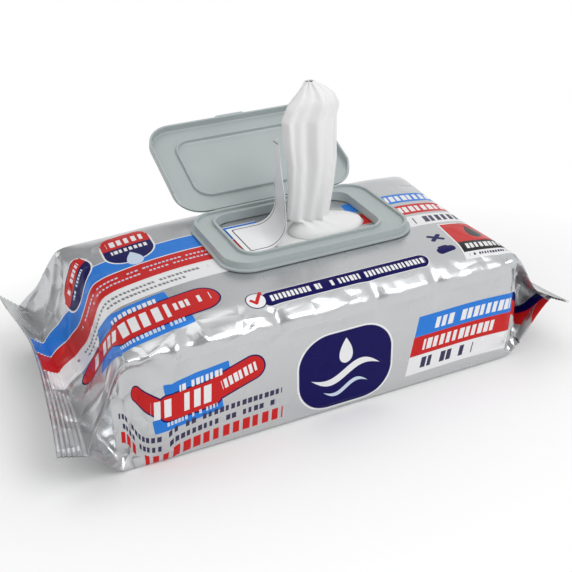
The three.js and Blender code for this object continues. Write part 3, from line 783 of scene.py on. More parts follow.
SLANTED_FIELDS = [
    ("flat", 85.6, -34.3, 0, 13.6, 16.2, -0.14, "white"),
    ("flat", 86.3, -28.8, 0, 12.8, 9.9, -0.14, "red"),
    ("flat", 84.4, -42.3, 0, 12.8, 3.9, -0.14, "black"), ("flat", 91.0, 16.5, 0, 49, 5.0, -0.1, "blue"),
    ("flat", 91.0, 2.8, 0, 49, 5.2, -0.1, "red"), ("flat", 90.4, -10.3, 0, 49, 5.4, -0.1, "white"),
    ("flat", 69.3, -77.7, 1, 28.3, 5.2, -0.21, "blue"), ("flat", 67.7, -88.1, 1, 28.8, 5.0, -0.21, "red"),
    # The navy band in the "end" lane is the blue band carried round the right-hand corner, painted darker
    # as painted shade in the fold; the red band below it keeps its own colour.
    ("flat", 66.1, -98.3, 1, 29.2, 4.8, -0.21, "white"), ("end", 110.0, -74.5, 0, 13.2, 2.6, 0, "navy"),
    ("end", 110.0, -80.4, 0, 13.2, 3.9, 0, "red"),
]
DASH_ROWS = [
    ("top", -72, 6.9, 0, 37, 0.5, 1.9, 0, 1, "pale"), ("top", -66, 3.2, 0, 31, 0.5, 1.9, 0, 2, "pale"),
    ("top", -80, -7.3, 0, 40, 0.8, 1.9, 0.2, 3, "grey"),
    ("top", -82, -11.4, 0, 31, 0.8, 1.9, 0.2, 4, "grey"),
    ("flat", -99.8, 32.0, 20, 8.6, 1.6, 2.7, 0, 5, "white"),
    ("flat", -98.0, 25.6, 20, 7.6, 0.9, 1.7, 0, 6, "pale"),
    ("flat", -65.9, 37.0, -3, 8.8, 2.5, 3.6, 0, 7, "white"),
    ("flat", -65.9, 28.6, -3, 8.6, 1.5, 2.4, 0, 8, "white"),
    ("flat", -80.5, -22.4, 1, 11.5, 1.6, 2.3, -0.1, 9, "white"),
    ("flat", -80, -43.2, 2, 16.5, 1.2, 1.9, -0.1, 10, "pale"),
    ("flat", -105, -27.2, -25, 12.0, 3.9, 4.4, -0.1, 11, "white"),
    ("flat", -80, -32.8, 1, 12.5, 5.2, 5.4, -0.1, 12, "white"),
    ("flat", -57, -31.8, 1, 8.4, 2.6, 2.7, -0.1, 13, "white"),
    ("flat", -63.5, -73.3, 5, 9.5, 1.5, 2.1, -0.1, 14, "white"),
    ("flat", -68.5, -89.3, 5, 11.5, 0.9, 1.6, -0.1, 15, "pale"),
    ("flat", -71.5, -81.7, 2, 14.5, 4.3, 4.4, -0.1, 16, "white"),
    ("flat", -46.5, -76.9, 17, 8.2, 2.2, 2.4, -0.1, 18, "white"),
    ("front", -69, -92.0, 1, 42, 1.25, 2.6, -0.1, 19, "ink"),
    ("front", -69, -97.0, 1, 39, 1.25, 2.6, -0.1, 20, "ink"),
    ("front", -69, -103.3, 0.5, 42, 2.8, 4.6, -0.1, 21, "red"),
    ("flat", 12.0, -44.9, 0, 38, 1.5, 1.9, 0, 22, "white"),
    ("flat", 78.6, 16.6, 0, 13, 2.9, 3.5, -0.2, 23, "white"),
    ("flat", 78.6, 2.9, 0, 13, 2.9, 3.5, -0.2, 24, "white"),
    ("flat", 78.6, -10.2, 0, 12.5, 3.1, 3.5, -0.2, 25, "ink"),
    ("flat", 72.0, -78.0, 1, 24.0, 2.7, 3.5, -0.2, 26, "white"),
    ("flat", 64.4, -88.2, 1, 19.5, 2.7, 3.5, -0.2, 27, "white"),
    ("flat", 58.0, -98.0, 1, 14.5, 2.7, 3.5, -0.2, 28, "ink"),
    ("flat", 84.5, -42.3, 0, 10, 1.8, 2.6, -0.2, 29, "white"),
    ("flat", 84.0, -48.2, 0, 11, 0.6, 1.5, -0.2, 30, "ink"),
]
DROPS = [
    (-66.4, 18.8, 3.9, 6.4, "pale"), (4.5, -79.5, 3.4, 6.6, "white"), (86.8, -28.6, 3.4, 6.4, "black"),
]
WAVES = [(4.5, -91.0, 17.5, 3.6, 0.62, "white"), (4.5, -99.0, 11.5, 2.6, 0.5, "pale")]

SMALL_INKS = {"pale": (0.62, 0.72, 0.86), "grey": (0.24, 0.24, 0.26), "ink": (0.05, 0.045, 0.10)}
SEED_STEP = 17.3

# How far each lane moves up, in millimetres, at places across the flat film
LANES = {
    "top": [(-150, -6), (-140, -5), (-131, -2), (-120, 2.4), (-106, -1.8), (-97, -1.0), (-90, 0), (150, 0)],
    "front": [(-150, 22), (-113, 14), (-100, 4), (-90, -3.5), (-84, -4.5), (-76, -1.5), (-60, 0), (150, 1)],
    "end": [(-150, 0), (96, 0), (104, -0.5), (112, -5), (122, -17), (150, -30)],
}


def lane_place(tree, place, bends):
    """The flat place with a lane's bends taken out."""
    parts = separate(tree, place)
    low, high = bends[0][0] / 1000, bends[-1][0] / 1000
    lift = [point[1] / 1000 for point in bends]
    least, span = min(lift), max(lift) - min(lift)
    share = ramp_value(tree, parts[0], low, high, 0.0, 1.0)
    curve = tree.nodes.new("ShaderNodeFloatCurve")
    points = curve.mapping.curves[0].points
    while len(points) < len(bends):
        points.new(0.5, 0.5)
    for point, (across, up) in zip(points, bends):
        point.location = ((across / 1000 - low) / (high - low), (up / 1000 - least) / span)
        point.handle_type = "AUTO_CLAMPED"
    curve.mapping.update()
    feed(tree, curve.inputs["Value"], share)
    moved = calculate(tree, "MULTIPLY_ADD", curve.outputs[0], -span, -least)
    return combine(tree, parts[0], calculate(tree, "ADD", parts[1], moved))


def millimetres(*sizes):
    return tuple(size / 1000 for size in sizes)


# The film's material is made once for each part of the flat film, with the shapes that reach into it, so
# that no material grows too long for the renderer. These are the places where the parts meet, and how
# near to one of them a shape is kept on both sides.
PART_ACROSS = -30
PART_UP = -52
PART_MARGIN_ACROSS = 3
PART_MARGIN_UP = 1


def film_part(across, up):
    """Which part of the film a place belongs to, for places in millimetres."""
    return int(across > PART_ACROSS) + 2 * int(up > PART_UP)


def reaches(part, lane, across, up, turn, half_length, half_width):
    """True where a printed shape, with its lane's bends, comes into a part of the film."""
    swing = abs(math.sin(math.radians(turn)))
    reach_across = half_length + swing * half_width + PART_MARGIN_ACROSS
    lifts = [bend[1] for bend in LANES.get(lane, [(0, 0)])]
    reach_up = half_width + swing * half_length + PART_MARGIN_UP
    corners = [
        (across + side * reach_across, up + end) for side in (-1, 1)
        for end in (min(lifts) - reach_up, max(lifts) + reach_up)]
    return part in [film_part(*corner) for corner in corners]


def film_shapes():
    """Each printed shape in painting order: kind, lane to half sizes, what else it needs, and colour."""
    for *shape, corner, colour in PRINTED_FIELDS:
        yield "field", shape, {"Corner": millimetres(corner, corner, 0)}, colour
    for *shape, slant, colour in SLANTED_FIELDS:
        yield "slanted", shape, {"Slant": slant}, colour
    for *shape, pitch, slant, seed, colour in DASH_ROWS:
        yield "dashes", shape, {"Slant": slant, "Pitch": pitch / 1000, "Seed": seed * SEED_STEP}, colour
    for across, up, half_length, half_width, colour in DROPS:
        yield "drop", ["flat", across, up, 0, half_length, half_width], {}, colour
    for across, up, half_length, half_width, thickness, colour in WAVES:
        yield "wave", ["flat", across, up, 0, half_length, half_width], {"Thickness": thickness}, colour


FRONT_TOP_EDGE = -0.057
CRUMPLE_FROM = 0.070
CRUMPLE_FULL = 0.105
CRUMPLE_BODY = 0.02
CRUMPLE_ENDS = 0.30
CRUMPLE_EDGE = 0.16
CRUMPLE_CELLS = 85.0
BARE_METALLIC = 0.9
INK_METALLIC = 0.2
FILM_ROUGHNESS = (0.24, 0.32)


def slack_film(tree, place):
    """How crumpled the film is: most at both ends, some along its front top edge, little elsewhere."""
    parts = separate(tree, place)
    outwards = calculate(tree, "ABSOLUTE", parts[0])
    ends = ramp_value(tree, outwards, CRUMPLE_FROM, CRUMPLE_FULL, CRUMPLE_BODY, CRUMPLE_ENDS)
    from_edge = calculate(tree, "ABSOLUTE", calculate(tree, "SUBTRACT", parts[1], FRONT_TOP_EDGE))
    edge = ramp_value(tree, from_edge, 0.004, 0.016, CRUMPLE_EDGE, 0.0)
    return calculate(tree, "MAXIMUM", ends, edge)


def film_material(colours, part):
    material, tree, shader = start_material(f"printed_film_{part}", colours.film, 0.3, BARE_METALLIC)
    shader.inputs["Specular IOR Level"].default_value = 0.15
    place = flat_place(tree, "film")
    lanes = {name: lane_place(tree, place, bends) for name, bends in LANES.items()}
    lanes["flat"] = place
    inks = {name: getattr(colours, name) for name in ("blue", "red", "navy", "white", "black")} | SMALL_INKS
    paint = (*colours.film, 1.0)
    for kind, shape, more, colour in film_shapes():
        if reaches(part, *shape):
            lane, across, up, turn, half_length, half_width = shape
            out = use_group(
                tree, shared_group(kind), Place=lanes[lane], Middle=millimetres(across, up, 0),
                Turn=(0, 0, math.radians(turn)), Half=millimetres(half_length, half_width, 1000), **more)
            paint = mix_colour(tree, paint, (*inks[colour], 1.0), out["Mask"])
    tree.links.new(paint, shader.inputs["Base Color"])
    off_film = vector_calculate(tree, "SUBTRACT", paint, tuple(colours.film))
    printed = vector_calculate(tree, "LENGTH", off_film)
    metallic = ramp_value(tree, printed, 0.02, 0.15, BARE_METALLIC, INK_METALLIC)
    tree.links.new(metallic, shader.inputs["Metallic"])
    crumple = use_group(tree, shared_group("crumple"), Place=place, Cells=CRUMPLE_CELLS)
    bump(tree, shader, calculate(tree, "MULTIPLY", crumple["Height"], slack_film(tree, place)), 1.0, 1.0)
    waves = use_group(tree, shared_group("grain"), Place=object_place(tree), Scale=45.0, Detail=1.0)
    rough = ramp_value(tree, waves["Height"], 0.3, 0.7, *FILM_ROUGHNESS)
    tree.links.new(rough, shader.inputs["Roughness"])
    return material


class PackColours(bpy.types.PropertyGroup):
    film: FloatVectorProperty(
        name="Film", description="Bare metallised film", subtype="COLOR", size=3,
        default=(0.58, 0.59, 0.60))
    blue: FloatVectorProperty(
        name="Blue", description="Blue print", subtype="COLOR", size=3,
        default=(0.028, 0.21, 0.70))
    red: FloatVectorProperty(
        name="Red", description="Red print", subtype="COLOR", size=3,
        default=(0.60, 0.018, 0.018))
    navy: FloatVectorProperty(
        name="Navy", description="Dark blue print", subtype="COLOR", size=3,
        default=(0.004, 0.002, 0.09))
    white: FloatVectorProperty(
        name="White", description="White print", subtype="COLOR", size=3,
        default=(0.86, 0.86, 0.87))
    black: FloatVectorProperty(
        name="Black", description="Black print", subtype="COLOR", size=3,
        default=(0.015, 0.015, 0.017))
    plastic: FloatVectorProperty(
        name="Plastic", description="Moulded frame and lid", subtype="COLOR", size=3,
        default=(0.44, 0.49, 0.49))
    cloth: FloatVectorProperty(
        name="Cloth", description="Wipes", subtype="COLOR", size=3,
        default=(0.88, 0.88, 0.88))


class LabelSizes(bpy.types.PropertyGroup):
    length: FloatProperty(
        name="Length", description="Length of the flat label", unit="LENGTH", default=0.064)
    width: FloatProperty(
        name="Width", description="Width of the flat label", unit="LENGTH", default=0.028)
    tip_width: FloatProperty(
        name="Tip width", description="Width near the free end", unit="LENGTH", default=0.016)
    thickness: FloatProperty(
        name="Thickness", description="Thickness of the label", unit="LENGTH", default=0.0003)
    curl_radius: FloatProperty(
        name="Curl radius", description="Radius of the peeled bend", unit="LENGTH", default=0.0105)


class WipeSizes(bpy.types.PropertyGroup):
    top: FloatProperty(
        name="Top", description="Height of the pulled wipe's tip", unit="LENGTH", default=0.134)
    base_length: FloatProperty(
        name="Base length", description="Length of its dome along the mouth", unit="LENGTH", default=0.038)
    base_width: FloatProperty(
        name="Base width", description="Width of its dome across the mouth", unit="LENGTH", default=0.0234)
    thickness: FloatProperty(
        name="Thickness", description="Thickness of the cloth", unit="LENGTH", default=0.0005)
    turns: FloatProperty(
        name="Turns", description="How often the gathered cloth goes round", default=1.25)


class StudioSettings(bpy.types.PropertyGroup):
    key_power: FloatProperty(
        name="Key light", description="Power of the front light", unit="POWER", default=6.5)
    top_power: FloatProperty(
        name="Top light", description="Power of the light overhead", unit="POWER", default=3.0)
    room_level: FloatProperty(
        name="Room level", description="Light from all round", default=0.45)
    floor_colour: FloatVectorProperty(
        name="Floor", description="Colour of the floor", subtype="COLOR", size=3,
        default=(0.98, 0.98, 0.98))


KEY_PLACE = (0.35, -0.75, 0.95)
KEY_SIZE = 0.7
TOP_PLACE = (-0.25, 0.25, 1.1)
TOP_SIZE = 0.9
LIGHT_AIM = (0, 0, 0.03)


def area_light(name, place, size, power):
    """A square light that looks at the pack."""
    light = bpy.data.lights.new(name, "AREA")
    light.shape = "SQUARE"
    light.size = size
    light.energy = power
    holder = bpy.data.objects.new(name, light)
    holder.location = place
    holder.rotation_euler = (Vector(LIGHT_AIM) - Vector(place)).to_track_quat("-Z", "Y").to_euler()
    bpy.context.scene.collection.objects.link(holder)


# The world as mirrors show it: over which directions it goes from bright to dim and from room to white
ROOM_SPAN = (-0.38, -0.02)
ROOM_BRIGHT = 0.86
ROOM_DIM = 0.36
HORIZON_SPAN = (-0.30, -0.05)


def room_world(level):
    """Soft light all round, a room that is brighter on the right, and a plain white surround low down."""
    world = bpy.data.worlds.new("room")
    bpy.context.scene.world = world
    world.use_nodes = True
    tree = world.node_tree
    path = tree.nodes.new("ShaderNodeLightPath")
    seen = calculate(tree, "MAXIMUM", path.outputs["Is Camera Ray"], path.outputs["Is Glossy Ray"])
    seen = calculate(tree, "MAXIMUM", seen, path.outputs["Is Transmission Ray"])
    toward = separate(tree, tree.nodes.new("ShaderNodeNewGeometry").outputs["Incoming"])
    room = ramp_value(tree, toward[0], *ROOM_SPAN, ROOM_BRIGHT, ROOM_DIM)
    surround = ramp_value(tree, toward[2], *HORIZON_SPAN, room, 1.0)
    background = tree.nodes["Background"]
    background.inputs["Color"].default_value = (1, 1, 1, 1)
    tree.links.new(ramp_value(tree, seen, 0.0, 1.0, level, surround), background.inputs["Strength"])


FLOOR_STRETCH = (0.6, 1, 0)
FADE_FROM = 0.085
FADE_TO = 0.15


def floor_material(colour):
    """Pale floor that keeps the pack's shadow and runs out into plain white."""
    material, tree, shader = start_material("floor", colour, 0.9)
    shader.inputs["Specular IOR Level"].default_value = 0.0
    path = tree.nodes.new("ShaderNodeLightPath")
    near = vector_calculate(tree, "MULTIPLY", object_place(tree), FLOOR_STRETCH)
    far = ramp_value(tree, vector_calculate(tree, "LENGTH", near), FADE_FROM, FADE_TO, 0.0, 1.0)
    seen = calculate(tree, "MAXIMUM", path.outputs["Is Camera Ray"], path.outputs["Is Glossy Ray"])
    white = tree.nodes.new("ShaderNodeEmission")
    mixed = tree.nodes.new("ShaderNodeMixShader")
    tree.links.new(calculate(tree, "MULTIPLY", far, seen), mixed.inputs[0])
    tree.links.new(shader.outputs[0], mixed.inputs[1])
    tree.links.new(white.outputs[0], mixed.inputs[2])
    tree.links.new(mixed.outputs[0], tree.nodes["Material Output"].inputs["Surface"])
    return material


class WIPES_OT_stage(bpy.types.Operator):
    """Floor, soft light and the camera at the photograph's angle"""
    bl_idname = "wipes.stage"
    bl_label = "Stage"

    def execute(self, context):
        studio = context.scene.wipes_studio
        bpy.ops.mesh.primitive_plane_add(size=6.0, location=(0, 0, -0.0002))
        floor = context.active_object
        floor.name = "floor"
        floor.data.materials.append(floor_material(studio.floor_colour))
        area_light("key_light", KEY_PLACE, KEY_SIZE, studio.key_power)
        area_light("top_light", TOP_PLACE, TOP_SIZE, studio.top_power)
        room_world(studio.room_level)
        data = bpy.data.cameras.new("camera")
        data.lens = CAMERA_LENS
        data.sensor_width = 36.0
        camera = bpy.data.objects.new("camera", data)
        right = Vector((math.cos(CAMERA_AZIMUTH), math.sin(CAMERA_AZIMUTH), 0))
        back = Vector((
            math.sin(CAMERA_AZIMUTH) * math.cos(CAMERA_ELEVATION),
            -math.cos(CAMERA_AZIMUTH) * math.cos(CAMERA_ELEVATION),
            math.sin(CAMERA_ELEVATION)))
        up = back.cross(right)
        turned = math.cos(CAMERA_ROLL) * right + math.sin(CAMERA_ROLL) * up
        raised = math.cos(CAMERA_ROLL) * up - math.sin(CAMERA_ROLL) * right
        facing = Matrix((turned, raised, back)).transposed().to_4x4()
        camera.matrix_world = Matrix.Translation(CAMERA_PLACE) @ facing
        context.scene.collection.objects.link(camera)
        context.scene.camera = camera
        context.scene.view_settings.view_transform = "Standard"
        return {"FINISHED"}


class WIPES_OT_film_pouch(bpy.types.Operator):
    """Wrapped film with its folded ends, ridged fins and the cut mouth"""
    bl_idname = "wipes.film_pouch"
    bl_label = "Film pouch"

    def execute(self, context):
        piece = piece_from_mesh("film_wrap", film_mesh("film_wrap"))
        for part in range(4):
            piece.data.materials.append(film_material(context.scene.wipes_colours, part))
        places = piece.data.uv_layers["film"].data
        for face in piece.data.polygons:
            across, up = places[face.loop_start].uv
            face.material_index = film_part(1000 * across, 1000 * up)
        shade(piece, 48)
        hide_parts("film_pouch")
        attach(piece, "root")
        return {"FINISHED"}


# Moulded frame and lid

EDGE_RADIUS = 0.0004
TAB_EDGE_RADIUS = 0.0003
SHARP_EDGE_ANGLE = math.radians(50)
FIRST_STEP = 0.0004
LID_TRIM = 0.0001
LID_RIM = 0.0011
LID_TOP_RADIUS = 0.0016
PANEL_MARGIN = 0.002
PANEL_SLOPE = 0.0016
INNER_CHAMFER = 0.0006
INNER_PANEL_SLOPE = 0.0014
PLUG_WALL = 0.0010
HINGE_CLEARANCE = 0.00035
LEDGE_DEPTH = FLANGE_WIDTH + 0.0003
LEDGE_FOOT = 0.0012
LEDGE_TOP = 0.0004
RELIEF_REACH = 0.017
RELIEF_TOP_REACH = 0.008
CUT_MARGIN = 0.002
TAB_ROOT = 0.0007
TAB_THICKNESS = 0.0011
TAB_CORNER = 0.0019

# How close to a level a point still counts as on it
NEAR = 0.0001


def enter_edit(piece):
    activate(piece)
    bpy.ops.object.mode_set(mode="EDIT")


def leave_edit():
    bpy.ops.object.mode_set(mode="OBJECT")


def pick_faces(piece, wanted):
    """Selects the faces whose middle and normal pass a test, in edit mode."""
    bpy.ops.mesh.select_mode(type="FACE")
    bpy.ops.mesh.select_all(action="DESELECT")
    mesh = bmesh.from_edit_mesh(piece.data)
    for face in mesh.faces:
        face.select_set(bool(wanted(face.calc_center_median(), face.normal)))
    bmesh.update_edit_mesh(piece.data)


def pick_edges(piece, wanted):
    bpy.ops.mesh.select_mode(type="EDGE")
    bpy.ops.mesh.select_all(action="DESELECT")
    mesh = bmesh.from_edit_mesh(piece.data)
    for edge in mesh.edges:
        edge.select_set(bool(wanted(edge)))
    bmesh.update_edit_mesh(piece.data)


def inset(distance):
    bpy.ops.mesh.inset(thickness=distance, use_even_offset=True)


def raise_by(height):
    """Extrudes the selected faces upwards."""
    bpy.ops.mesh.extrude_region_move(TRANSFORM_OT_translate={"value": (0, 0, height)})


def shift_up(height):
    """Moves the selected faces upwards without new walls."""
    bpy.ops.transform.translate(value=(0, 0, height))


def selected_box(piece):
    mesh = bmesh.from_edit_mesh(piece.data)
    places = [vertex.co.copy() for vertex in mesh.verts if vertex.select]
    low = Vector(min(place[axis] for place in places) for axis in range(3))
    high = Vector(max(place[axis] for place in places) for axis in range(3))
    return low, high


def step_to(piece, length, depth, middle):
    """Insets the selected face and stretches it to an outline of its own."""
    inset(FIRST_STEP)
    low, high = selected_box(piece)
    centre = (low + high) / 2
    bpy.ops.transform.resize(
        value=(length / (high.x - low.x), depth / (high.y - low.y), 1), center_override=centre)
    bpy.ops.transform.translate(value=(middle[0] - centre.x, middle[1] - centre.y, 0))


def rounded_slab(name, middle, length, depth, corner, foot, height):
    """A slab with its four upright edges rounded."""
    bpy.ops.object.select_all(action="DESELECT")
    bpy.ops.mesh.primitive_cube_add(size=1, location=(middle[0], middle[1], foot + height / 2))
    piece = bpy.context.active_object
    piece.name = name
    piece.data.name = name
    piece.scale = (length, depth, height)
    bpy.ops.object.transform_apply(location=True, rotation=True, scale=True)
    enter_edit(piece)
    pick_edges(piece, lambda edge: abs(edge.verts[0].co.z - edge.verts[1].co.z) > height / 2)
    bpy.ops.mesh.bevel(offset=corner, segments=12, affect="EDGES")
    return piece


def soften(piece, width, segments):
    """Small radii on the moulded edges."""
    activate(piece)
    bevel = piece.modifiers.new("radius", "BEVEL")
    bevel.width = width
    bevel.segments = segments
    bevel.limit_method = "ANGLE"
    bevel.angle_limit = SHARP_EDGE_ANGLE
    bpy.ops.object.modifier_apply(modifier=bevel.name)


def join_or_cut(piece, tool, operation):
    """Joins a second form to the piece or cuts it away, and deletes it."""
    activate(piece)
    step = piece.modifiers.new("step", "BOOLEAN")
    step.operation = operation
    step.object = tool
    step.solver = "EXACT"
    bpy.ops.object.modifier_apply(modifier=step.name)
    bpy.data.objects.remove(tool)


def plain_block(name, low, high):
    bpy.ops.object.select_all(action="DESELECT")
    middle = (Vector(low) + Vector(high)) / 2
    bpy.ops.mesh.primitive_cube_add(size=1, location=middle)
    piece = bpy.context.active_object
    piece.name = name
    piece.scale = Vector(high) - Vector(low)
    bpy.ops.object.transform_apply(location=True, rotation=True, scale=True)
    return piece


def plastic_material(colours):
    material, tree, shader = start_material("grey_plastic", colours.plastic, 0.36)
    grain = use_group(tree, shared_group("grain"), Place=object_place(tree), Scale=600.0, Detail=3.0)
    clouds = use_group(tree, shared_group("grain"), Place=object_place(tree), Scale=22.0, Detail=2.0)
    shade_share = ramp_value(tree, clouds["Height"], 0.35, 0.65, 0.0, 1.0)
    darker = tuple(0.95 * part for part in colours.plastic) + (1.0,)
    lighter = tuple(1.04 * part for part in colours.plastic) + (1.0,)
    tree.links.new(mix_colour(tree, darker, lighter, shade_share), shader.inputs["Base Color"])
    tree.links.new(ramp_value(tree, grain["Height"], 0.3, 0.7, 0.32, 0.42), shader.inputs["Roughness"])
    bump(tree, shader, grain["Height"], 0.15, 0.00004)
    shader.inputs["Subsurface Weight"].default_value = 0.12
    shader.inputs["Subsurface Radius"].default_value = (0.002, 0.002, 0.002)
    return material


class WIPES_OT_lid_frame(bpy.types.Operator):
    """Moulded frame with its flange, raised bead, deck and the lip round its window"""
    bl_idname = "wipes.lid_frame"
    bl_label = "Lid frame"

    def execute(self, context):
        piece = rounded_slab(
            "moulded_frame", (FRAME_X, FRAME_Y), FRAME_LENGTH, FRAME_DEPTH, FRAME_CORNER,
            FRAME_SEAT, FLANGE_THICKNESS)
        window = (WINDOW_LENGTH, WINDOW_DEPTH, (WINDOW_X, WINDOW_Y))
        lip = (WINDOW_LENGTH + 2 * FRAME_WALL, WINDOW_DEPTH + 2 * FRAME_WALL, (WINDOW_X, WINDOW_Y))
        pick_faces(piece, lambda middle, normal: normal.z > 0.9)
        inset(FLANGE_WIDTH)
        raise_by(BEAD_HEIGHT - FLANGE_THICKNESS)
        inset(FRAME_WALL)
        raise_by(DECK_HEIGHT - BEAD_HEIGHT)
        step_to(piece, *lip)
        raise_by(BEAD_HEIGHT + LIP_RISE - DECK_HEIGHT)
        inset(FRAME_WALL)
        raise_by(-(BEAD_HEIGHT + LIP_RISE))
        bpy.ops.mesh.delete(type="FACE")
        pick_faces(piece, lambda middle, normal: normal.z < -0.9 and middle.z < FRAME_SEAT + NEAR)
        step_to(piece, *window)
        bpy.ops.mesh.delete(type="FACE")
        pick_edges(piece, lambda edge: edge.is_boundary)
        bpy.ops.mesh.bridge_edge_loops()
        bpy.ops.mesh.select_all(action="SELECT")
        bpy.ops.mesh.remove_doubles(threshold=0.00002)
        bpy.ops.mesh.normals_make_consistent(inside=False)
        leave_edit()
        soften(piece, EDGE_RADIUS, 3)
        ledge = plain_block(
            "ledge",
            (FRAME_X - HINGE_LENGTH / 2, HINGE_Y - HINGE_CLEARANCE - LEDGE_DEPTH, HINGE_Z - LEDGE_FOOT),
            (FRAME_X + HINGE_LENGTH / 2, HINGE_Y - HINGE_CLEARANCE, HINGE_Z - LEDGE_TOP))
        join_or_cut(piece, ledge, "UNION")
        piece.data.materials.clear()
        piece.data.materials.append(plastic_material(context.scene.wipes_colours))
        shade(piece, 35)
        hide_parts("lid_frame")
        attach(piece, "root")
        return {"FINISHED"}


class WIPES_OT_flip_lid(bpy.types.Operator):
    """Lid with its rounded rim, plug ring, raised panel and thumb tab, swung open about the hinge"""
    bl_idname = "wipes.flip_lid"
    bl_label = "Flip lid"

    def execute(self, context):
        foot = FRAME_SEAT + FLANGE_THICKNESS + LID_SKIRT_LIFT
        top = FRAME_SEAT + LID_HEIGHT
        under_plate = top - LID_WALL
        piece = rounded_slab(
            "moulded_lid", (FRAME_X, FRAME_Y), FRAME_LENGTH - 2 * LID_TRIM, FRAME_DEPTH - 2 * LID_TRIM,
            FRAME_CORNER - LID_TRIM, foot, top - foot)
        pick_edges(piece, lambda edge: min(vertex.co.z for vertex in edge.verts) > top - NEAR)
        bpy.ops.mesh.bevel(offset=LID_TOP_RADIUS, segments=5, affect="EDGES")
        pick_faces(piece, lambda middle, normal: normal.z > 0.999)
        panel = (WINDOW_LENGTH + PANEL_MARGIN, WINDOW_DEPTH + PANEL_MARGIN)
        step_to(piece, *panel, (WINDOW_X, WINDOW_Y))
        inset(PANEL_SLOPE)
        shift_up(LID_PANEL_RISE)
        pick_faces(piece, lambda middle, normal: normal.z < -0.999)
        inset(LID_RIM)
        raise_by(under_plate - INNER_CHAMFER - foot)
        inset(INNER_CHAMFER)
        shift_up(INNER_CHAMFER)
        plug_length = WINDOW_LENGTH - 2 * PLUG_GAP
        plug_depth = WINDOW_DEPTH - 2 * PLUG_GAP
        step_to(piece, plug_length, plug_depth, (WINDOW_X, WINDOW_Y))
        raise_by(-PLUG_DEPTH)
        inset(PLUG_WALL)
        raise_by(PLUG_DEPTH)
        inset(INNER_PANEL_SLOPE)
        shift_up(LID_PANEL_RISE)
        bpy.ops.mesh.select_all(action="SELECT")
        bpy.ops.mesh.normals_make_consistent(inside=False)
        leave_edit()
        soften(piece, EDGE_RADIUS, 3)
        relief = plain_block(
            "relief",
            (FRAME_X - FRAME_LENGTH / 2 - CUT_MARGIN, HINGE_Y - RELIEF_REACH, foot - CUT_MARGIN),
            (FRAME_X + FRAME_LENGTH / 2 + CUT_MARGIN, HINGE_Y + CUT_MARGIN, HINGE_Z + HINGE_CLEARANCE))
        for vertex in relief.data.vertices:
            if vertex.co.z > foot and vertex.co.y < HINGE_Y - RELIEF_TOP_REACH:
                vertex.co.y = HINGE_Y - RELIEF_TOP_REACH
        join_or_cut(piece, relief, "DIFFERENCE")
        front = FRAME_Y - FRAME_DEPTH / 2
        tab = plain_block(
            "tab",
            (FRAME_X - THUMB_TAB_WIDTH / 2, front - THUMB_TAB_REACH + LID_TRIM, foot),
            (FRAME_X + THUMB_TAB_WIDTH / 2, front + TAB_ROOT, foot + TAB_THICKNESS))
        enter_edit(tab)
        pick_edges(tab, lambda edge: abs(edge.verts[0].co.z - edge.verts[1].co.z) > TAB_THICKNESS / 2
                   and edge.verts[0].co.y < front)
        bpy.ops.mesh.bevel(offset=TAB_CORNER, segments=6, affect="EDGES")
        leave_edit()
        soften(tab, TAB_EDGE_RADIUS, 2)
        join_or_cut(piece, tab, "UNION")
        about = Matrix.Translation((0, HINGE_Y, HINGE_Z))
        piece.data.transform(about @ Matrix.Rotation(-LID_OPEN_ANGLE, 4, "X") @ about.inverted())
        piece.data.materials.clear()
        piece.data.materials.append(plastic_material(context.scene.wipes_colours))
        shade(piece, 35)
        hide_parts("flip_lid")
        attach(piece, "lid")
        return {"FINISHED"}


# Label

LABEL_LEFT = -0.019
LABEL_Y = 0.0075
LABEL_PEEL_X = -0.0065
LABEL_PEEL_TURN = math.radians(14)
LABEL_RISE_ANGLE = math.radians(90)
LABEL_ROWS = 97
LABEL_COLUMNS = 25
BORDER_IN_LENGTH = 0.0022
BORDER_IN_WIDTH = 0.0020
BORDER_LINE = 0.0006
BORDER_CORNER = 0.001


def label_point(sizes, along, across):
    """Where a point of the flat label goes when its free end is peeled up round a slanted line."""
    line = np.array([math.sin(LABEL_PEEL_TURN), math.cos(LABEL_PEEL_TURN)])
    ahead = np.array([math.cos(LABEL_PEEL_TURN), -math.sin(LABEL_PEEL_TURN)])
    flat = np.array([LABEL_LEFT + along - LABEL_PEEL_X, across])
    past, side = flat @ ahead, flat @ line
    angle = min(max(past / sizes.curl_radius, 0), LABEL_RISE_ANGLE)
    beyond = max(past - sizes.curl_radius * LABEL_RISE_ANGLE, 0)
    lift = sizes.thickness / 2
    radius = sizes.curl_radius - lift
    run = min(past, 0) + radius * math.sin(angle) + beyond * math.cos(angle)
    rise = lift + radius * (1 - math.cos(angle)) + beyond * math.sin(angle)
    place = np.array([LABEL_PEEL_X, LABEL_Y]) + line * side + ahead * run
    return (*place, FRAME_SEAT + rise)


def label_half_width(sizes, along):
    share = along / sizes.length
    tip = min(max((share - 0.9) / 0.1, 0), 1)
    return blend(sizes.width, sizes.tip_width, float(smooth(share, 0.55, 0.85))) / 2 * (1 - 0.45 * tip ** 2)


def grid_mesh(name, points, flat, layer_name):
    """A single sheet through rows of points, with its flat places as a map."""
    rows, columns = points.shape[:2]
    faces = [
        (i * columns + j, (i + 1) * columns + j, (i + 1) * columns + j + 1, i * columns + j + 1)
        for i in range(rows - 1) for j in range(columns - 1)]
    mesh = bpy.data.meshes.new(name)
    mesh.from_pydata(points.reshape(-1, 3).tolist(), [], faces)
    layer = mesh.uv_layers.new(name=layer_name)
    order = np.array(faces).ravel()
    layer.data.foreach_set("uv", flat.reshape(-1, 2)[order].astype(np.float32).ravel())
    mesh.update()
    return mesh


def thicken(piece, thickness, other_side=False):
    activate(piece)
    wall = piece.modifiers.new("wall", "SOLIDIFY")
    wall.thickness = thickness
    wall.offset = 0
    if other_side:
        wall.material_offset = 1
        wall.material_offset_rim = 1
    bpy.ops.object.modifier_apply(modifier=wall.name)


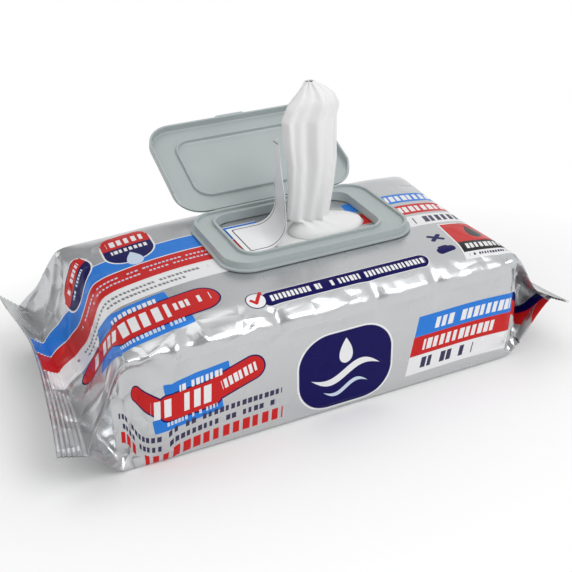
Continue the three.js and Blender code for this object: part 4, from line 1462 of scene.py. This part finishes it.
def label_material(colours, sizes):
    material, tree, shader = start_material("label_print", colours.white, 0.28)
    place = flat_place(tree, "label")
    field = shared_group("field")
    white, black = (*colours.white, 1.0), (*colours.black, 1.0)
    middle = sizes.length / 2
    masks = [
        use_group(
            tree, field, Place=place, Middle=(middle, 0, 0), Turn=(0, 0, 0),
            Half=(middle - BORDER_IN_LENGTH - more, sizes.width / 2 - BORDER_IN_WIDTH - more, 1),
            Corner=(BORDER_CORNER, BORDER_CORNER, 0))["Mask"]
        for more in (0, BORDER_LINE)]
    paint = mix_colour(tree, white, black, masks[0])
    paint = mix_colour(tree, paint, white, masks[1])
    tree.links.new(paint, shader.inputs["Base Color"])
    return material


class WIPES_OT_peel_label(bpy.types.Operator):
    """Resealable label, stuck down at its left end and peeled up at its free end"""
    bl_idname = "wipes.peel_label"
    bl_label = "Peel label"

    def execute(self, context):
        sizes = context.scene.wipes_label
        colours = context.scene.wipes_colours
        points, flat = [], []
        for row in range(LABEL_ROWS):
            along = sizes.length * row / (LABEL_ROWS - 1)
            half = label_half_width(sizes, along)
            across = np.linspace(-half, half, LABEL_COLUMNS)
            points.append([label_point(sizes, along, place) for place in across])
            flat.append([(along, place) for place in across])
        mesh = grid_mesh("reseal_label", np.array(points), np.array(flat), "label")
        piece = piece_from_mesh("reseal_label", mesh)
        back = start_material("label_back", (0.75, 0.76, 0.77), 0.5)[0]
        piece.data.materials.append(label_material(colours, sizes))
        piece.data.materials.append(back)
        thicken(piece, sizes.thickness, other_side=True)
        shade(piece, 40)
        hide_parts("peel_label")
        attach(piece, "root")
        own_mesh(piece)
        return {"FINISHED"}


# Wipes

STACK_LENGTH = 0.156
STACK_WIDTH = 0.099
STACK_GAP = 0.0040
STACK_GAP_AT_MOUTH = 0.0009
STACK_CUTS = 27

# Between which shares of the mouth's oval the stack's top comes down from the film
STACK_RISE = (1.25, 1.7)
WIPE_BASE_X = 0.0263
WIPE_COLUMN_Y = 0.006
WIPE_DOME_HEIGHT = 0.0052

# The pulled wipe's left and right outline at a few heights
WIPE_LEVELS = [0.060, 0.068, 0.082, 0.096, 0.106, 0.117, 0.1225, 0.127, 0.1305, 0.134]
WIPE_LEFT = [0.0072, 0.0067, 0.0076, 0.0074, 0.0058, 0.0050, 0.0074, 0.0116, 0.0142, 0.0165]
WIPE_RIGHT = [0.0270, 0.0282, 0.0307, 0.0321, 0.0318, 0.0317, 0.0330, 0.0309, 0.0265, 0.0205]
WIPE_FOOT = BODY_HEIGHT + CROWN - 0.0006
WIND_IN = 0.16
WIDE_PLEAT = 0.20
NARROW_PLEAT = 0.14
WIPE_ROWS = 110
WIPE_DOME_ROWS = 34
WIPE_COLUMNS = 260


def wipe_shape(sizes, height):
    """Middle and half sizes of the gathered wipe at a height above the stack."""
    left, right = (np.interp(WIPE_FOOT + height, WIPE_LEVELS, edge) for edge in (WIPE_LEFT, WIPE_RIGHT))
    share = height / (sizes.top - WIPE_FOOT)
    column = float(smooth(height, 0.35 * WIPE_DOME_HEIGHT, 1.6 * WIPE_DOME_HEIGHT))
    dome = max(math.sqrt(max(1 - (height / (1.25 * WIPE_DOME_HEIGHT)) ** 2, 0)), 0.2)
    tip = float(smooth(share, 0.86, 1))
    half_length = (right - left) / 2
    half_width = blend(0.0046, 0.0060, float(smooth(share, 0, 0.6))) * (1 - 0.7 * tip)
    return {
        "x": blend(WIPE_BASE_X, (left + right) / 2, column),
        "y": blend(MOUTH_Y, WIPE_COLUMN_Y, column),
        "half_length": blend(sizes.base_length / 2 * dome, half_length, column),
        "half_width": blend(sizes.base_width / 2 * dome, half_width, column),
        "column": column,
    }


def cloth_material(colours):
    material, tree, shader = start_material("wipe_cloth", colours.cloth, 0.85)
    shader.inputs["Subsurface Weight"].default_value = 0.25
    shader.inputs["Subsurface Radius"].default_value = (0.002, 0.002, 0.002)
    grain = use_group(tree, shared_group("grain"), Place=object_place(tree), Scale=700.0, Detail=4.0)
    crumple = use_group(tree, shared_group("grain"), Place=object_place(tree), Scale=120.0, Detail=2.0)
    height = calculate(tree, "MULTIPLY_ADD", crumple["Height"], 3.0, grain["Height"])
    bump(tree, shader, height, 0.4, 0.00015)
    return material


class WIPES_OT_wipes(bpy.types.Operator):
    """Stack of folded wipes, and the wipe pulled up through the mouth"""
    bl_idname = "wipes.wipes"
    bl_label = "Wipes"

    def add_stack(self, cloth):
        """A block of folded wipes that stands clear of the film, except close under the mouth."""
        bpy.ops.object.select_all(action="DESELECT")
        bpy.ops.mesh.primitive_cube_add(size=1)
        stack = bpy.context.active_object
        stack.name = "wipes_block"
        bpy.ops.object.mode_set(mode="EDIT")
        bpy.ops.mesh.subdivide(number_cuts=STACK_CUTS)
        bpy.ops.object.mode_set(mode="OBJECT")
        for vertex in stack.data.vertices:
            x, y, z = (vertex.co.x * STACK_LENGTH, vertex.co.y * STACK_WIDTH, vertex.co.z + 0.5)
            near_mouth = 1 - float(smooth(mouth_share(x, y), *STACK_RISE))
            gap = blend(STACK_GAP, STACK_GAP_AT_MOUTH, near_mouth)
            height = float(top_height(x, y)) - gap - STACK_GAP
            vertex.co = (x, y, STACK_GAP + z * height)
        shade(stack, 40)
        stack.data.materials.append(cloth)
        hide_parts("wipe_stack")
        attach(stack, "root")

    def execute(self, context):
        sizes = context.scene.wipes_wipe
        cloth = cloth_material(context.scene.wipes_colours)
        self.add_stack(cloth)
        dome = np.linspace(0, 0.012, WIPE_DOME_ROWS)
        column = np.linspace(0.012, sizes.top - WIPE_FOOT, WIPE_ROWS - WIPE_DOME_ROWS + 1)[1:]
        heights = np.concatenate([dome, column])
        turn = np.linspace(0, 2 * sizes.turns * math.pi, WIPE_COLUMNS)
        points = []
        for height in heights:
            shape = wipe_shape(sizes, height)
            wound = np.clip(turn / (2 * math.pi) - 0.9, 0, 1)
            inwards = 1 - WIND_IN * shape["column"] * wound
            pleat = WIDE_PLEAT * np.cos(5 * turn + 20 * height)
            pleat += NARROW_PLEAT * np.cos(11 * turn - 55 * height + 1)
            x = shape["x"] + shape["half_length"] * inwards * np.cos(turn)
            y = shape["y"] + shape["half_width"] * inwards * (1 + shape["column"] * pleat) * np.sin(turn)
            points.append(np.column_stack([x, y, np.full(WIPE_COLUMNS, WIPE_FOOT + height)]))
        points = np.array(points)
        flat = np.stack(np.meshgrid(turn * 0.01, heights), axis=2)
        piece = piece_from_mesh("pulled_cloth", grid_mesh("pulled_cloth", points, flat, "cloth"))
        piece.data.materials.append(cloth)
        thicken(piece, sizes.thickness)
        shade(piece, 60)
        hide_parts("pulled_wipe")
        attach(piece, "root")
        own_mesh(piece)
        return {"FINISHED"}


class WIPES_PT_panel(bpy.types.Panel):
    """Steps that build the pack"""
    bl_idname = "WIPES_PT_panel"
    bl_label = "Wipes pack"
    bl_space_type = "VIEW_3D"
    bl_region_type = "UI"
    bl_category = "Wipes pack"

    def draw(self, context):
        for step in STEPS:
            self.layout.operator(step.bl_idname)
        for name in SETTINGS:
            group = getattr(context.scene, name)
            for label in group.bl_rna.properties.keys():
                if label not in ("rna_type", "name"):
                    self.layout.prop(group, label)


STEPS = (
    WIPES_OT_stage, WIPES_OT_film_pouch, WIPES_OT_wipes, WIPES_OT_peel_label, WIPES_OT_lid_frame,
    WIPES_OT_flip_lid)
SETTINGS = {
    "wipes_colours": PackColours, "wipes_label": LabelSizes, "wipes_wipe": WipeSizes,
    "wipes_studio": StudioSettings}


def register():
    for group in SETTINGS.values():
        bpy.utils.register_class(group)
    for step in (*STEPS, WIPES_PT_panel):
        bpy.utils.register_class(step)
    for name, group in SETTINGS.items():
        setattr(bpy.types.Scene, name, PointerProperty(type=group))


def unregister():
    for name in SETTINGS:
        delattr(bpy.types.Scene, name)
    for step in reversed((*STEPS, WIPES_PT_panel)):
        bpy.utils.unregister_class(step)
    for group in reversed(SETTINGS.values()):
        bpy.utils.unregister_class(group)


def main():
    register()
    bpy.ops.wipes.stage()
    bpy.ops.wipes.film_pouch()
    bpy.ops.wipes.wipes()
    bpy.ops.wipes.peel_label()
    bpy.ops.wipes.lid_frame()
    bpy.ops.wipes.flip_lid()


if __name__ == "__main__":
    main()
